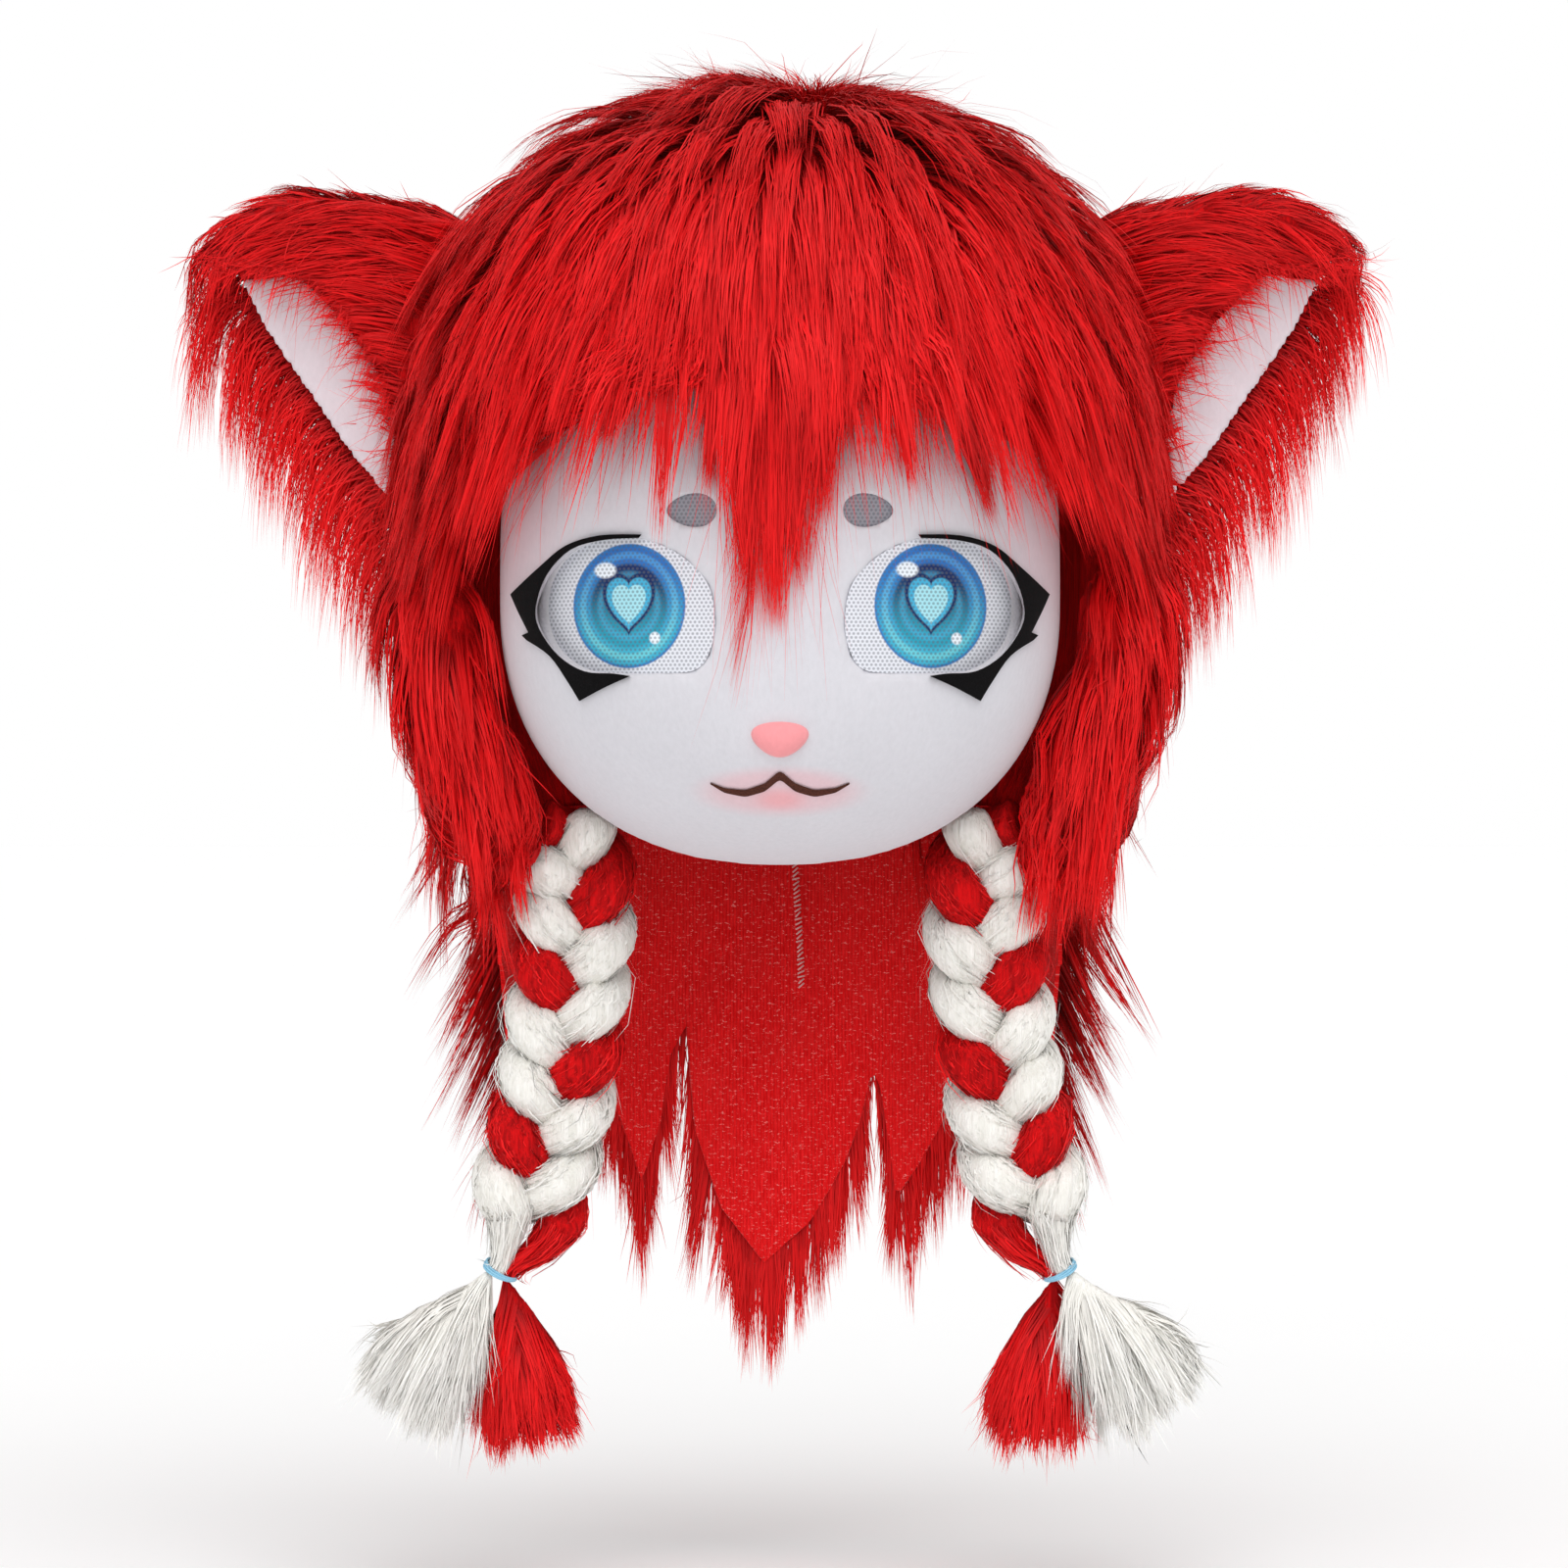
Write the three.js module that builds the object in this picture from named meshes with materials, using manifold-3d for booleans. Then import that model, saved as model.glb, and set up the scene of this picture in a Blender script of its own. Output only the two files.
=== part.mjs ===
// Fursuit head: a face shell with eye meshes, a fur hood with ears, a knit-backed neck flap and two
// plaited braids. Millimetres, +Z up, the front faces -Y. The origin is the inside top of the crown,
// where the head rests on its wearer. Left and right are the wearer's: left is +X.
import * as THREE from 'three';
import { mergeVertices } from 'three/addons/utils/BufferGeometryUtils.js';
import Module from 'manifold-3d';

const wasm = await Module();
wasm.setup();

// Driving dimensions of the face shell
const faceHalfWidth = 114.4;
const crownRise = 173;
const chinDrop = 110;
const faceDepth = 108;
const skullDepth = 128;
const shellWall = 3;
const widestY = -10;
const widestZ = -170;
const outlinePower = 2.25;
const crownPower = 2.5;
const depthPower = 2.2;
const muzzleRise = 6;
const muzzleHalfWidth = 34;
const muzzleHalfHeight = 26;
const muzzleZ = -240;

// Rim of the shell, seen from the side: behind this line the shell is open
const rimTopY = 15;
const rimTopZ = -150;
const rimChinY = -24;

// Clearance kept between neighbouring pieces
const gap = 0.3;

// Eyes and brows
const eyeSpacing = 122.8;
const eyeZ = -176;
const eyeHalfWidth = 35.4;
const eyeHalfHeight = 26;
const eyeMeshThickness = 1.4;
const eyeInnerRecess = 0.8;
const eyeOuterRecess = 6.5;
const eyeCollarWidth = 3;
const browSpacing = 69;
const browZ = -138.8;
const browHalfWidth = 9.8;
const browHalfHeight = 6.6;
const browMeshThickness = 1;
const browRecess = 1.4;
const lashThickness = 1.6;

// Nose and mouth
const noseZ = -228;
const noseHalfWidth = 11;
const noseHalfHeight = 7.6;
const noseRise = 6.5;
const mouthZ = -247;
const mouthHalfWidth = 27.4;
const mouthLine = 2.6;
const mouthGrooveDepth = 1.2;

// Fur thickness over the skull, and the hood's edges, inside and lower rim
const sideFur = 35.6;
const crownFur = 37;
const browFur = 20;
const backFur = 40;
const hoodHalfWidth = faceHalfWidth + sideFur;
const hoodTop = widestZ + crownRise + crownFur;
const hoodFront = faceDepth - widestY + browFur;
const hoodBack = skullDepth + widestY + backFur;
const rimAboveChin = 15;
const hoodRimZ = widestZ - chinDrop + rimAboveChin;
const hoodEdgeLap = 2;
const hoodEdgeY = widestY + hoodEdgeLap;
const hoodBrowReach = 22;
const hoodBrowY = -faceDepth - hoodBrowReach;
const hoodBrowRise = 70;
const hoodBrowZ = rimTopZ + hoodBrowRise;
const neckTopZ = widestZ;
const neckSideWall = 3.4;
const neckHalfWidth = faceHalfWidth - neckSideWall;
const rimLedge = 19;
const neckRimHalfWidth = neckHalfWidth - rimLedge;
const neckBackWall = 2;
const neckBack = skullDepth + widestY - neckBackWall;
const neckRimInset = 4;

// Bangs and side hair
const bangsThickness = 15;
const bangsTipThickness = 3;
const bangsDrop = 92;
const bangsRootLap = 10;
const bangsRootZ = hoodBrowZ - bangsRootLap;
const bangsTopLap = 40;
const bangsTopZ = hoodBrowZ + bangsTopLap;
const sideHairStand = 20;
const sideHairOut = hoodHalfWidth + sideHairStand;
const sideHairTopLap = 4;
const sideHairTopZ = rimTopZ + sideHairTopLap;
const sideHairHang = 27;
const sideHairTipZ = hoodRimZ - sideHairHang;
const sideHairFront = 38;
const sideHairBack = 24;

// Ears
const earRootSink = 22;
const earRoot = hoodHalfWidth - earRootSink;
const earLength = 124;
const earAboveRim = 150;
const earTopZ = rimTopZ + earAboveRim;
const earHeight = 143;
const earFront = 8;
const earBack = 26;
const earCup = 9;
const earPocket = 5;
const liningThickness = 2;

// Neck flap and the fur on its outside
const flapEase = 5;
const flapHalfWidth = neckHalfWidth + flapEase;
const flapFrontY = 28;
const flapBackY = neckBack;
const flapSweep = 84;
const flapThickness = 2.5;
const flapLength = 186;
const neckFurThickness = 22;
const neckFurTipThickness = 6;
const neckFurLength = 235;

// Braids, ties and tassels
const braidTopX = neckRimHalfWidth;
const braidBow = 92;
const braidDrop = 183;
const braidY = 4;
const plaitHalfWidth = 17;
const plaitHalfDepth = 10.5;
const plaitPitch = 70;
const strandHalfWidth = 4.9;
const strandHalfDepth = 4.7;
const gatherFrom = 0.85;
const gatherTo = 0.965;
const tieStrandOffset = 3.3;
const tieStrandRadius = 2.5;
const tieBand = 1.3;
const tieSlack = 0.45;
const tieFromEnd = 3;
const tasselTopGap = 1.2;
const tasselLength = 70;
const tasselHalfWidth = 27;
const tasselHalfDepth = 11;

// Materials, one for each finish
const finish = (color, roughness) =>
  new THREE.MeshStandardMaterial({ color, roughness, metalness: 0 });
const materials = {
  whitePile: finish(0xe4e2ea, 0.95),
  eyeMesh: finish(0xc9ccd6, 0.7),
  blackFelt: finish(0x0a0a0b, 0.95),
  pinkFlock: finish(0xf0a5a5, 0.9),
  redFur: finish(0xd01016, 0.9),
  redKnit: finish(0xc31018, 0.95),
  whiteFur: finish(0xeeece4, 0.9),
  blueElastic: finish(0x96cde8, 0.8),
};

// Basic helpers
const mix = (a, b, t) => a + (b - a) * t;
const clamp = (value, low, high) => Math.min(high, Math.max(low, value));
const vec = (x, y, z) => new THREE.Vector3(x, y, z);

function solid(geometry) {
  const bare = geometry.clone();
  bare.deleteAttribute('normal');
  bare.deleteAttribute('uv');
  const merged = mergeVertices(bare, 1e-4);
  return new wasm.Manifold(new wasm.Mesh({
    numProp: 3,
    vertProperties: new Float32Array(merged.attributes.position.array),
    triVerts: new Uint32Array(merged.index.array),
  }));
}

function geometryOf(manifold) {
  const mesh = manifold.getMesh();
  const geometry = new THREE.BufferGeometry();
  geometry.setAttribute('position', new THREE.BufferAttribute(mesh.vertProperties, 3));
  geometry.setIndex(new THREE.BufferAttribute(mesh.triVerts, 1));
  geometry.computeVertexNormals();
  return geometry;
}

const head = new THREE.Group();

function addPiece(name, shape, material) {
  const geometry = shape.isBufferGeometry ? shape : geometryOf(shape);
  const mesh = new THREE.Mesh(geometry, material);
  mesh.name = name;
  head.add(mesh);
}

// A closed skin through rings of equal count, listed from the low end to the high end
function loft(rings) {
  const count = rings[0].length;
  const positions = rings.flat().flatMap((p) => [p.x, p.y, p.z]);
  const middle = (ring) => ring.reduce((sum, p) => sum.add(p), vec(0, 0, 0)).divideScalar(count);
  const startCap = rings.length * count;
  const endCap = startCap + 1;
  for (const ring of [rings[0], rings.at(-1)]) {
    const centre = middle(ring);
    positions.push(centre.x, centre.y, centre.z);
  }
  const faces = [];
  for (let i = 0; i + 1 < rings.length; i += 1) {
    for (let j = 0; j < count; j += 1) {
      const a = i * count + j;
      const b = i * count + ((j + 1) % count);
      faces.push(a, b, b + count, a, b + count, a + count);
    }
  }
  const lastRing = (rings.length - 1) * count;
  for (let j = 0; j < count; j += 1) {
    const next = (j + 1) % count;
    faces.push(startCap, next, j, endCap, lastRing + j, lastRing + next);
  }
  const geometry = new THREE.BufferGeometry();
  geometry.setAttribute('position', new THREE.Float32BufferAttribute(positions, 3));
  geometry.setIndex(faces);
  return geometry;
}

// A prism along Y over an outline of [x, z] points
function prism(outline, frontY, backY) {
  const shape = new THREE.Shape(outline.map(([x, z]) => new THREE.Vector2(x, z)));
  const geometry = new THREE.ExtrudeGeometry(shape, { depth: backY - frontY, bevelEnabled: false });
  geometry.rotateX(Math.PI / 2);
  geometry.translate(0, backY, 0);
  return solid(geometry);
}

// A prism along X over an outline of [y, z] points
function sidePrism(outline, halfWidth) {
  const shape = new THREE.Shape(outline.map(([y, z]) => new THREE.Vector2(y, z)));
  const geometry = new THREE.ExtrudeGeometry(shape, { depth: 2 * halfWidth, bevelEnabled: false });
  geometry.rotateX(Math.PI / 2);
  geometry.rotateZ(Math.PI / 2);
  geometry.translate(-halfWidth, 0, 0);
  return solid(geometry);
}

// A closed curve through [x, z] points, sampled evenly
function smoothOutline(points, samples) {
  const curve = new THREE.CatmullRomCurve3(points.map(([x, z]) => vec(x, 0, z)), true, 'centripetal');
  return curve.getSpacedPoints(samples).slice(0, samples).map((p) => [p.x, p.z]);
}

// The outline moved outwards by a distance, or inwards where it is negative
function offsetOutline(points, distance) {
  const count = points.length;
  const turn = THREE.ShapeUtils.area(points.map(([x, z]) => new THREE.Vector2(x, z))) > 0 ? 1 : -1;
  return points.map(([x, z], i) => {
    const [x0, z0] = points[(i + count - 1) % count];
    const [x1, z1] = points[(i + 1) % count];
    const along = Math.hypot(x1 - x0, z1 - z0);
    return [x + (turn * distance * (z1 - z0)) / along, z - (turn * distance * (x1 - x0)) / along];
  });
}

const box = ([minX, minY, minZ], [maxX, maxY, maxZ]) => {
  const geometry = new THREE.BoxGeometry(maxX - minX, maxY - minY, maxZ - minZ);
  geometry.translate((minX + maxX) / 2, (minY + maxY) / 2, (minZ + maxZ) / 2);
  return solid(geometry);
};

// A curved plate over a window of X and Z, between a front and a back surface y(x, z)
function plate(window, steps, front, back) {
  const width = window.maxX - window.minX;
  const height = window.maxZ - window.minZ;
  const geometry = new THREE.BoxGeometry(width, 1, height, steps[0], 1, steps[1]);
  const at = geometry.attributes.position;
  for (let i = 0; i < at.count; i += 1) {
    const x = at.getX(i) + window.minX + width / 2;
    const z = at.getZ(i) + window.minZ + height / 2;
    at.setXYZ(i, x, at.getY(i) < 0 ? front(x, z) : back(x, z), z);
  }
  return solid(geometry);
}

function windowOf(outline, margin) {
  const xs = outline.map((p) => p[0]);
  const zs = outline.map((p) => p[1]);
  return {
    minX: Math.min(...xs) - margin,
    maxX: Math.max(...xs) + margin,
    minZ: Math.min(...zs) - margin,
    maxZ: Math.max(...zs) + margin,
  };
}

// Skull form: a superellipse outline from the front, crowned in depth. `grow` moves it outwards.
function outlineRadius(angle, grow) {
  const up = Math.sin(angle) > 0;
  const power = up ? crownPower : outlinePower;
  const reach = (up ? crownRise : chinDrop) + grow;
  const across = Math.abs(Math.cos(angle)) / (faceHalfWidth + grow);
  const rise = Math.abs(Math.sin(angle)) / reach;
  return (across ** power + rise ** power) ** (-1 / power);
}

function muzzleRelief(x, z) {
  const across = (x / muzzleHalfWidth) ** 2;
  const rise = ((z - muzzleZ) / muzzleHalfHeight) ** 2;
  return muzzleRise * Math.exp(-(across + rise));
}

// The Y of the face's surface under a point of the front view
function faceY(x, z, grow = 0) {
  const angle = Math.atan2(z - widestZ, x);
  const share = Math.hypot(x, z - widestZ) / outlineRadius(angle, grow);
  const fill = Math.max(0, 1 - share ** outlinePower);
  return widestY - (faceDepth + grow) * fill ** (1 / depthPower) - muzzleRelief(x, z);
}

const skullAround = 36;
const skullAlong = 22;

function skullForm(grow) {
  const geometry = new THREE.SphereGeometry(1, skullAround, skullAlong);
  const at = geometry.attributes.position;
  for (let i = 0; i < at.count; i += 1) {
    const angle = Math.atan2(at.getZ(i), at.getX(i));
    const away = Math.hypot(at.getX(i), at.getZ(i));
    const radius = outlineRadius(angle, grow) * away ** (2 / outlinePower);
    const x = away < 1e-6 ? 0 : radius * Math.cos(angle);
    const z = away < 1e-6 ? widestZ : widestZ + radius * Math.sin(angle);
    const front = at.getY(i) < 0;
    const depth = (front ? faceDepth : skullDepth) + grow;
    const y = depth * Math.abs(at.getY(i)) ** (2 / depthPower);
    at.setXYZ(i, x, front ? widestY - y - muzzleRelief(x, z) : widestY + y, z);
  }
  return solid(geometry);
}

const farX = 400;
const farY = 400;
const farZ = 700;
const chinZ = widestZ - chinDrop;

// Space behind the shell's rim, which leans forward under the chin
function behindRim() {
  const chinSlope = (rimTopY - rimChinY) / (rimTopZ - chinZ);
  const lowY = rimTopY - chinSlope * (rimTopZ + farZ);
  return sidePrism([[rimTopY, farZ], [rimTopY, rimTopZ], [lowY, -farZ], [farY, -farZ], [farY, farZ]], farX);
}

// Eye openings, as shares of the eye's half width (outward) and half height (up)
const eyeOutlineTable = [
  { outward: 0.07, up: 1.0 },
  { outward: 0.48, up: 0.91 },
  { outward: 0.82, up: 0.54 },
  { outward: 1.0, up: 0.02 },
  { outward: 0.91, up: -0.46 },
  { outward: 0.65, up: -0.82 },
  { outward: 0.37, up: -0.97 },
  { outward: -0.42, up: -1.0 },
  { outward: -0.79, up: -0.95 },
  { outward: -0.94, up: -0.7 },
  { outward: -1.0, up: -0.25 },
  { outward: -0.92, up: 0.31 },
  { outward: -0.62, up: 0.74 },
  { outward: -0.25, up: 0.97 },
];

const eyeSamples = 24;
const eyePoint = (side, row) => [
  side * (eyeSpacing / 2 + row.outward * eyeHalfWidth),
  eyeZ + row.up * eyeHalfHeight,
];
const eyeOutline = (side) => smoothOutline(eyeOutlineTable.map((row) => eyePoint(side, row)), eyeSamples);

function eyeRecess(x) {
  const inner = eyeSpacing / 2 - eyeHalfWidth;
  const share = clamp((Math.abs(x) - inner) / (2 * eyeHalfWidth), 0, 1);
  return mix(eyeInnerRecess, eyeOuterRecess, share ** 1.6);
}

function browOutline(side) {
  const samples = 18;
  return Array.from({ length: samples }, (_, i) => {
    const angle = (2 * Math.PI * i) / samples;
    const egg = 1 - 0.18 * Math.cos(angle);
    const x = side * (browSpacing / 2 + browHalfWidth * Math.cos(angle));
    return [x, browZ + browHalfHeight * egg * Math.sin(angle)];
  });
}

// Face shell with its eye collars, brow holes and mouth groove
const mouthTable = [
  { across: -1.0, up: 0.25 },
  { across: -0.8, up: -0.35 },
  { across: -0.5, up: -0.62 },
  { across: -0.22, up: -0.1 },
  { across: 0, up: 1.0 },
  { across: 0.22, up: -0.1 },
  { across: 0.5, up: -0.62 },
  { across: 0.8, up: -0.35 },
  { across: 1.0, up: 0.25 },
];
const mouthRise = 4.6;

function mouthOutline() {
  const line = mouthTable.map((row) => [row.across * mouthHalfWidth, mouthZ + row.up * mouthRise]);
  const middle = (line.length - 1) / 2;
  const width = (i) => mouthLine * (1 - 0.75 * (Math.abs(i - middle) / middle) ** 2);
  const over = line.map(([x, z], i) => [x, z + width(i) / 2]);
  const under = line.map(([x, z], i) => [x, z - width(i) / 2]).reverse();
  return [...over, ...under];
}

function buildFace() {
  let shell = skullForm(0).subtract(skullForm(-shellWall));
  for (const side of [1, -1]) {
    const collar = offsetOutline(eyeOutline(side), eyeCollarWidth);
    const back = (x, z) => faceY(x, z, -eyeRecess(x) - eyeMeshThickness - shellWall);
    const ring = plate(windowOf(collar, 1), [6, 5], (x, z) => faceY(x, z, -shellWall / 2), back);
    shell = shell.add(ring.intersect(prism(collar, -farY, 0)));
    shell = shell.subtract(prism(eyeOutline(side), -farY, 0));
    shell = shell.subtract(prism(browOutline(side), -farY, 0));
  }
  const mouth = mouthOutline();
  const floor = (x, z) => faceY(x, z, -mouthGrooveDepth);
  const proud = (x, z) => faceY(x, z, 2);
  const groove = plate(windowOf(mouth, 1), [14, 4], proud, floor).intersect(prism(mouth, -farY, 0));
  shell = shell.subtract(groove);
  return shell.subtract(behindRim());
}

addPiece('face_shell', buildFace(), materials.whitePile);

// The shell's outside with the clearance: what lies on the shell is cut by it
const headForm = skullForm(gap);
const sunk = -2;

// Eye and brow meshes, each held in its hole by the clearance all round
for (const [name, side] of [['left', 1], ['right', -1]]) {
  const eye = offsetOutline(eyeOutline(side), -gap);
  const front = (x, z) => faceY(x, z, -eyeRecess(x));
  const back = (x, z) => faceY(x, z, -eyeRecess(x) - eyeMeshThickness);
  const eyePlate = plate(windowOf(eye, 1), [8, 6], front, back).intersect(prism(eye, -farY, 0));
  addPiece(`eye_mesh_${name}`, eyePlate, materials.eyeMesh);

  const brow = offsetOutline(browOutline(side), -gap);
  const browFront = (x, z) => faceY(x, z, -browRecess);
  const browBack = (x, z) => faceY(x, z, -browRecess - browMeshThickness);
  const browPlate = plate(windowOf(brow, 1), [3, 2], browFront, browBack).intersect(prism(brow, -farY, 0));
  addPiece(`brow_mesh_${name}`, browPlate, materials.eyeMesh);
}

// Lash felt: its outline in the same shares as the eye opening
const lashTable = [
  { outward: -0.2, up: 1.07 },
  { outward: 0.27, up: 1.07 },
  { outward: 0.66, up: 0.93 },
  { outward: 0.96, up: 0.63 },
  { outward: 1.32, up: 0.23 },
  { outward: 1.23, up: -0.03 },
  { outward: 1.1, up: -0.37 },
  { outward: 1.18, up: -0.41 },
  { outward: 1.12, up: -0.49 },
  { outward: 0.85, up: -0.74 },
  { outward: 0.64, up: -1.14 },
  { outward: 0.51, up: -1.43 },
  { outward: 0.22, up: -1.23 },
  { outward: -0.07, up: -1.06 },
  { outward: 0.12, up: -1.02 },
  { outward: 0.45, up: -0.98 },
  { outward: 0.75, up: -0.73 },
  { outward: 0.97, up: -0.32 },
  { outward: 1.01, up: 0.02 },
  { outward: 0.88, up: 0.5 },
  { outward: 0.6, up: 0.87 },
  { outward: 0.22, up: 1.0 },
  { outward: -0.17, up: 1.02 },
];

const lashOutline = (side) => lashTable.map((row) => eyePoint(side, row));

for (const [name, side] of [['left', 1], ['right', -1]]) {
  const outline = lashOutline(side);
  const front = (x, z) => faceY(x, z, gap + lashThickness);
  const back = (x, z) => faceY(x, z, sunk);
  const felt = plate(windowOf(outline, 1), [10, 6], front, back).intersect(prism(outline, -farY, 0));
  addPiece(`lash_${name}`, felt.subtract(headForm), materials.blackFelt);
}

// Nose: a flocked button, broader above than below, seated on the muzzle
function buildNose() {
  const geometry = new THREE.SphereGeometry(1, 18, 12);
  const at = geometry.attributes.position;
  const seatY = faceY(0, noseZ);
  for (let i = 0; i < at.count; i += 1) {
    const broad = 1 + 0.28 * at.getZ(i);
    const x = at.getX(i) * noseHalfWidth * broad;
    at.setXYZ(i, x, seatY + 1 + at.getY(i) * noseRise, noseZ + at.getZ(i) * noseHalfHeight);
  }
  return solid(geometry).subtract(headForm);
}

addPiece('nose', buildNose(), materials.pinkFlock);

// Hood: horizontal sections of the fur's outer form, as shares of the hood's half width and depths
const hoodTable = [
  { level: 0, width: 0.92, depth: 0.88 },
  { level: 0.18, width: 0.97, depth: 0.95 },
  { level: 0.38, width: 1.0, depth: 1.0 },
  { level: 0.61, width: 0.975, depth: 1.0 },
  { level: 0.74, width: 0.9, depth: 0.95 },
  { level: 0.83, width: 0.79, depth: 0.85 },
  { level: 0.9, width: 0.64, depth: 0.72 },
  { level: 0.95, width: 0.46, depth: 0.55 },
  { level: 0.98, width: 0.29, depth: 0.36 },
  { level: 1, width: 0.1, depth: 0.14 },
];
const hoodSides = 32;
const hoodPower = 2.2;
const neckPower = 2.4;

function ovalRing(z, halfWidth, frontY, backY, count, power) {
  const middle = (frontY + backY) / 2;
  const halfDepth = (backY - frontY) / 2;
  return Array.from({ length: count }, (_, i) => {
    const angle = (2 * Math.PI * i) / count;
    const cos = Math.cos(angle);
    const sin = Math.sin(angle);
    const x = halfWidth * Math.sign(cos) * Math.abs(cos) ** (2 / power);
    return vec(x, middle + halfDepth * Math.sign(sin) * Math.abs(sin) ** (2 / power), z);
  });
}

function hoodOuter(grow) {
  const rings = hoodTable.map((row) => {
    const z = mix(hoodRimZ - grow, hoodTop + grow, row.level);
    const halfWidth = row.width * hoodHalfWidth + grow;
    const backY = row.depth * hoodBack + grow;
    return ovalRing(z, halfWidth, -row.depth * hoodFront - grow, backY, hoodSides, hoodPower);
  });
  return solid(loft(rings));
}

// The neck's way up into the head: it narrows to the rim, which carries the braids
function neckHollow() {
  const belowRim = 20;
  const ring = (z, narrow) => {
    const halfWidth = mix(neckHalfWidth, neckRimHalfWidth, narrow);
    return ovalRing(z, halfWidth, -farY / 2, neckBack - neckRimInset * narrow, hoodSides, neckPower);
  };
  return solid(loft([
    ring(hoodRimZ - belowRim, 1),
    ring(hoodRimZ, 1),
    ring(mix(neckTopZ, hoodRimZ, 0.58), 0.2),
    ring(neckTopZ, 0),
  ]));
}

// Space in front of the hood's cut edge: beside the face, then up and forward over the forehead
function beforeHood(forward) {
  const slope = (hoodEdgeY - hoodBrowY) / (hoodBrowZ - rimTopZ);
  const farRise = (farY / 2) / slope;
  const edge = hoodEdgeY - forward;
  return sidePrism([
    [-farY, -farZ],
    [edge, -farZ],
    [edge, rimTopZ],
    [edge - farY / 2, rimTopZ + farRise],
    [-farY, rimTopZ + farRise],
  ], farX);
}

const hoodInside = headForm.add(neckHollow());

addPiece('hood', hoodOuter(0).subtract(hoodInside).subtract(beforeHood(0)), materials.redFur);

// Bangs: the lower edge runs through tips and hollows, as shares of the face half width and of the drop
const bangsTable = [
  { across: -0.9, drop: 0.2 },
  { across: -0.82, drop: 0.5 },
  { across: -0.72, drop: 0.26 },
  { across: -0.6, drop: 0.62 },
  { across: -0.5, drop: 0.3 },
  { across: -0.34, drop: 0.72 },
  { across: -0.26, drop: 0.52 },
  { across: -0.02, drop: 1.0 },
  { across: 0.15, drop: 0.46 },
  { across: 0.23, drop: 0.32 },
  { across: 0.38, drop: 0.66 },
  { across: 0.47, drop: 0.36 },
  { across: 0.66, drop: 0.6 },
  { across: 0.75, drop: 0.28 },
  { across: 0.86, drop: 0.44 },
  { across: 0.92, drop: 0.18 },
];

function buildBangs() {
  const edge = bangsTable.map((row) => [row.across * faceHalfWidth, bangsRootZ - row.drop * bangsDrop]);
  const outline = [...edge, [edge.at(-1)[0], bangsTopZ], [edge[0][0], bangsTopZ]];
  const thickness = (z) => {
    const share = clamp((bangsRootZ - z) / bangsDrop, 0, 1);
    return mix(bangsThickness, bangsTipThickness, share);
  };
  const front = (x, z) => faceY(x, z, 2 * gap + thickness(z));
  const back = (x, z) => faceY(x, z, sunk);
  const fringe = plate(windowOf(outline, 1), [14, 7], front, back).intersect(prism(outline, -farY, 0));
  return fringe.subtract(headForm).intersect(beforeHood(2 * gap));
}

addPiece('bangs', buildBangs(), materials.redFur);

// Ears: outlines as shares of the ear's length (out) and height (down)
const earTable = [
  { out: -0.1, down: 0.1 },
  { out: 0.3, down: 0.03 },
  { out: 0.57, down: 0.0 },
  { out: 0.8, down: 0.08 },
  { out: 0.94, down: 0.22 },
  { out: 1.0, down: 0.42 },
  { out: 0.93, down: 0.66 },
  { out: 0.82, down: 0.62 },
  { out: 0.72, down: 0.78 },
  { out: 0.56, down: 0.86 },
  { out: 0.46, down: 0.96 },
  { out: 0.32, down: 1.0 },
  { out: -0.1, down: 0.98 },
];
const liningTable = [
  { out: 0.75, down: 0.27 },
  { out: 0.56, down: 0.26 },
  { out: 0.41, down: 0.39 },
  { out: 0.29, down: 0.55 },
  { out: 0.24, down: 0.72 },
  { out: 0.26, down: 0.9 },
  { out: 0.38, down: 0.78 },
  { out: 0.54, down: 0.58 },
  { out: 0.68, down: 0.4 },
];

const earPoint = (side, row) => [side * (earRoot + row.out * earLength), earTopZ - row.down * earHeight];

function earMiddle(x, z) {
  const out = clamp((Math.abs(x) - earRoot) / earLength, 0, 1);
  const down = clamp((earTopZ - z) / earHeight, 0, 1);
  return earCup * Math.sin(Math.PI * out) * Math.sin(Math.PI * down);
}

function buildEar(side) {
  const outline = earTable.map((row) => earPoint(side, row));
  const front = (x, z) => earMiddle(x, z) - earFront;
  const thinning = (x) => 1 - 0.5 * clamp((Math.abs(x) - earRoot) / earLength, 0, 1);
  const back = (x, z) => earMiddle(x, z) + earBack * thinning(x);
  const fur = plate(windowOf(outline, 1), [8, 8], front, back).intersect(prism(outline, -farY, farY));
  const lining = liningTable.map((row) => earPoint(side, row));
  const floor = (x, z) => front(x, z) + earPocket + liningThickness + gap;
  const pocket = plate(windowOf(lining, 4), [5, 6], (x, z) => front(x, z) - 10, floor);
  const hole = pocket.intersect(prism(offsetOutline(lining, gap), -farY, farY));
  return fur.subtract(hole).subtract(hoodOuter(gap));
}

function buildLining(side) {
  const outline = liningTable.map((row) => earPoint(side, row));
  const front = (x, z) => earMiddle(x, z) - earFront + earPocket;
  const back = (x, z) => front(x, z) + liningThickness;
  return plate(windowOf(outline, 4), [5, 6], front, back)
    .intersect(prism(outline, -farY, farY))
    .subtract(hoodOuter(2 * gap));
}

for (const [name, side] of [['left', 1], ['right', -1]]) {
  addPiece(`ear_${name}`, buildEar(side), materials.redFur);
  addPiece(`ear_lining_${name}`, buildLining(side), materials.whitePile);
}

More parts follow.
